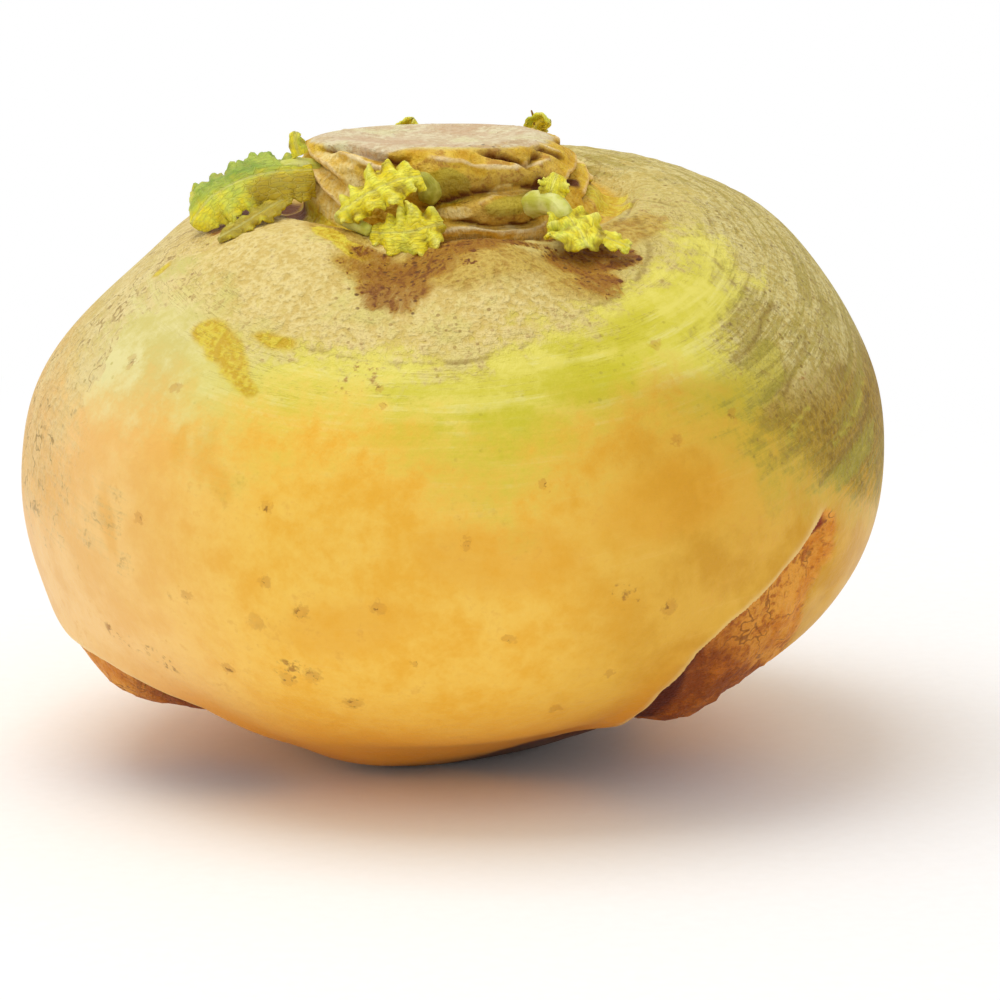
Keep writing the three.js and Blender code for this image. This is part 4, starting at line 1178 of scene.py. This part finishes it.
def stalkMaterial():
    shader = Shader("youngStalk", Subsurface_Weight=0.3, Subsurface_Scale=0.0015, Subsurface_Radius=(1, 0.9, 0.3),
                    Specular_IOR_Level=0.4)
    hues = stalkColours
    place = shader.place()
    fibres = shader.noise(shader.stretched(shader.attribute("stem", "Vector"), 3.5, 3.5, 1.6), 1, 3, 0.6)
    cloud = shader.noise(place, 0.002, 3)
    fleck = shader.noise(place, 0.0007, 3, 0.7)
    clouded = cloud.steps(0.4, 0.65)
    shader.feed("Base Color", shader.coated(
        shader.mix(clouded, *hues["pale"]),
        (fibres.steps(0.5, 0.75) * 0.5, hues["fibre"]),
        (shader.attribute("olive"), shader.mix(clouded, *hues["olive"])),
        (fleck.steps(0.6, 0.75) * 0.5, hues["fleck"])))
    shader.feed("Roughness", 0.38 + fibres * 0.2)
    shader.bump(fibres * 0.00015 + cloud * 0.0002)
    return shader.material


leafColours = {
    "yellow": ["f8e010", "fff648"],
    "green": ["86a528", "b4c440"],
    "hollow": "a88a08",
    "crestHighlight": "fffa80",
    "vein": "f3ea94",
    "midrib": "ece88e",
    "fleck": "b09a10",
}


def leafMaterial():
    shader = Shader("youngLeaf", Subsurface_Weight=0.25, Subsurface_Scale=0.0012, Subsurface_Radius=(1, 0.9, 0.2),
                    Specular_IOR_Level=0.4)
    hues = leafColours
    place = shader.place()
    across = shader.parts("blade")[0]
    fold, green = shader.attribute("fold"), shader.attribute("green")
    cloud = shader.noise(place, 0.0022, 3)
    grain = shader.noise(place, 0.0005, 3, 0.6)
    veins = shader.cells(shader.attribute("blade", "Vector"), 0.16, "DISTANCE_TO_EDGE").steps(0.1, 0.02)
    clouded = cloud.steps(0.35, 0.65)
    shader.feed("Base Color", shader.coated(
        shader.mix(clouded, *hues["yellow"]),
        (((cloud - 0.5) * 1.6 + green).steps(0.15, 0.95), shader.mix(clouded, *hues["green"])),
        # painted shade in the hollows and painted highlight on the crests
        (fold.steps(0.1, -0.7) * 0.8, hues["hollow"]),
        (fold.steps(0.1, 0.7) * 0.6, hues["crestHighlight"]),
        (veins * 0.12, hues["vein"]),
        (across.lineAtZero(0.09, 0.03) * 0.4, hues["midrib"]),
        (grain.steps(0.62, 0.78) * 0.3, hues["fleck"])))
    shader.feed("Roughness", 0.42 + grain * 0.2)
    shader.bump(veins * -0.00012 + grain * 0.00015 + cloud * 0.0002)
    return shader.material


stalkSkin, leafSkin = stalkMaterial(), leafMaterial()
for stalk in stalks:
    finishPiece(makeStalk(stalk), stalk["name"] + "_skin", stalkSkin, [stalk["name"]])
for seed, leaf in enumerate(leaves):
    finishPiece(makeLeaf(leaf, seed), leaf["name"] + "_blade", leafSkin, [leaf["name"]])

# fine rootlets on the underside, and one dry thread on the back leaf
rootletSkin = rootletMaterial()
threads = [{"line": [[11.2, 15.3, 84.4], [11.1, 15.2, 85.6], [10.8, 15, 86.6]], "radii": [0.25, 0.2, 0.1]}]
for number, (start, way) in enumerate(rootletPlaces):
    long = rootlets["length"] * (1 + 0.4 * math.sin(number * 2.4))
    end = start + way * long - [0, 0, rootlets["droop"]]
    threads.append({"line": [start - way, start + way * long * 0.5, end], "radii": [rootlets["radius"], 0.03]})
for number, thread in enumerate(threads):
    finishPiece(makeStalk(thread), "rootlet_" + str(number + 1), rootletSkin, [])
print("sprouts made")


# Studio

studio = {
    "floorSize": 6,
    "floorColours": ["fbfaf9", "ffffff"],
    "whiteFrom": 0.14,  # the floor turns to plain white between these distances
    "whiteTo": 0.3,
    "worldStrength": 0.72,
    "lampPower": 4,
    "lampSize": 0.65,
    "lampPlace": [-0.225, 0.02, 0.95],
    "lampAim": [0, 0, 0.04],
}


def makeFloor():
    bpy.ops.mesh.primitive_plane_add(size=studio["floorSize"])
    floor = bpy.context.object
    floor.name = "floor"
    shader = Shader("floorPaper", Roughness=0.9, Specular_IOR_Level=0.1)
    place = shader.place()
    shader.feed("Base Color", shader.mix(shader.noise(place, 0.002), *studio["floorColours"]))
    far = shader.node("ShaderNodeVectorMath", {"operation": "LENGTH"}, [place], "Value")
    seen = shader.ray("Camera") + shader.ray("Glossy") + shader.ray("Transmission")
    white = shader.node("ShaderNodeEmission", None, {"Color": "ffffff", "Strength": 1})
    plain = far.steps(studio["whiteFrom"], studio["whiteTo"]) * seen
    mixed = shader.node("ShaderNodeMixShader", None, [plain, Value(shader, shader.surface.outputs[0]), white])
    shader.tree.links.new(mixed.socket, shader.tree.nodes["Material Output"].inputs["Surface"])
    floor.data.materials.append(shader.material)


def makeLight():
    world = bpy.data.worlds.new("studio")
    scene.world = world
    world.use_nodes = True
    sky = Nodes(world.node_tree)
    background = sky.tree.nodes["Background"]
    background.inputs["Color"].default_value = colour("ffffff")
    # white to the camera, and dimmer as a light
    seen = sky.ray("Camera").larger(sky.ray("Transmission"))
    strength = sky.node("ShaderNodeMapRange", None, [seen, 0, 1, studio["worldStrength"], 1])
    sky.tree.links.new(strength.socket, background.inputs["Strength"])

    place = Vector(studio["lampPlace"])
    turned = (Vector(studio["lampAim"]) - place).to_track_quat("-Z", "Y").to_euler()
    bpy.ops.object.light_add(type="AREA", location=place, rotation=turned)
    lamp = bpy.context.object
    lamp.data.size = studio["lampSize"]
    lamp.data.energy = studio["lampPower"]


makeFloor()
makeLight()
scene.view_settings.view_transform = "Standard"
print("studio made")
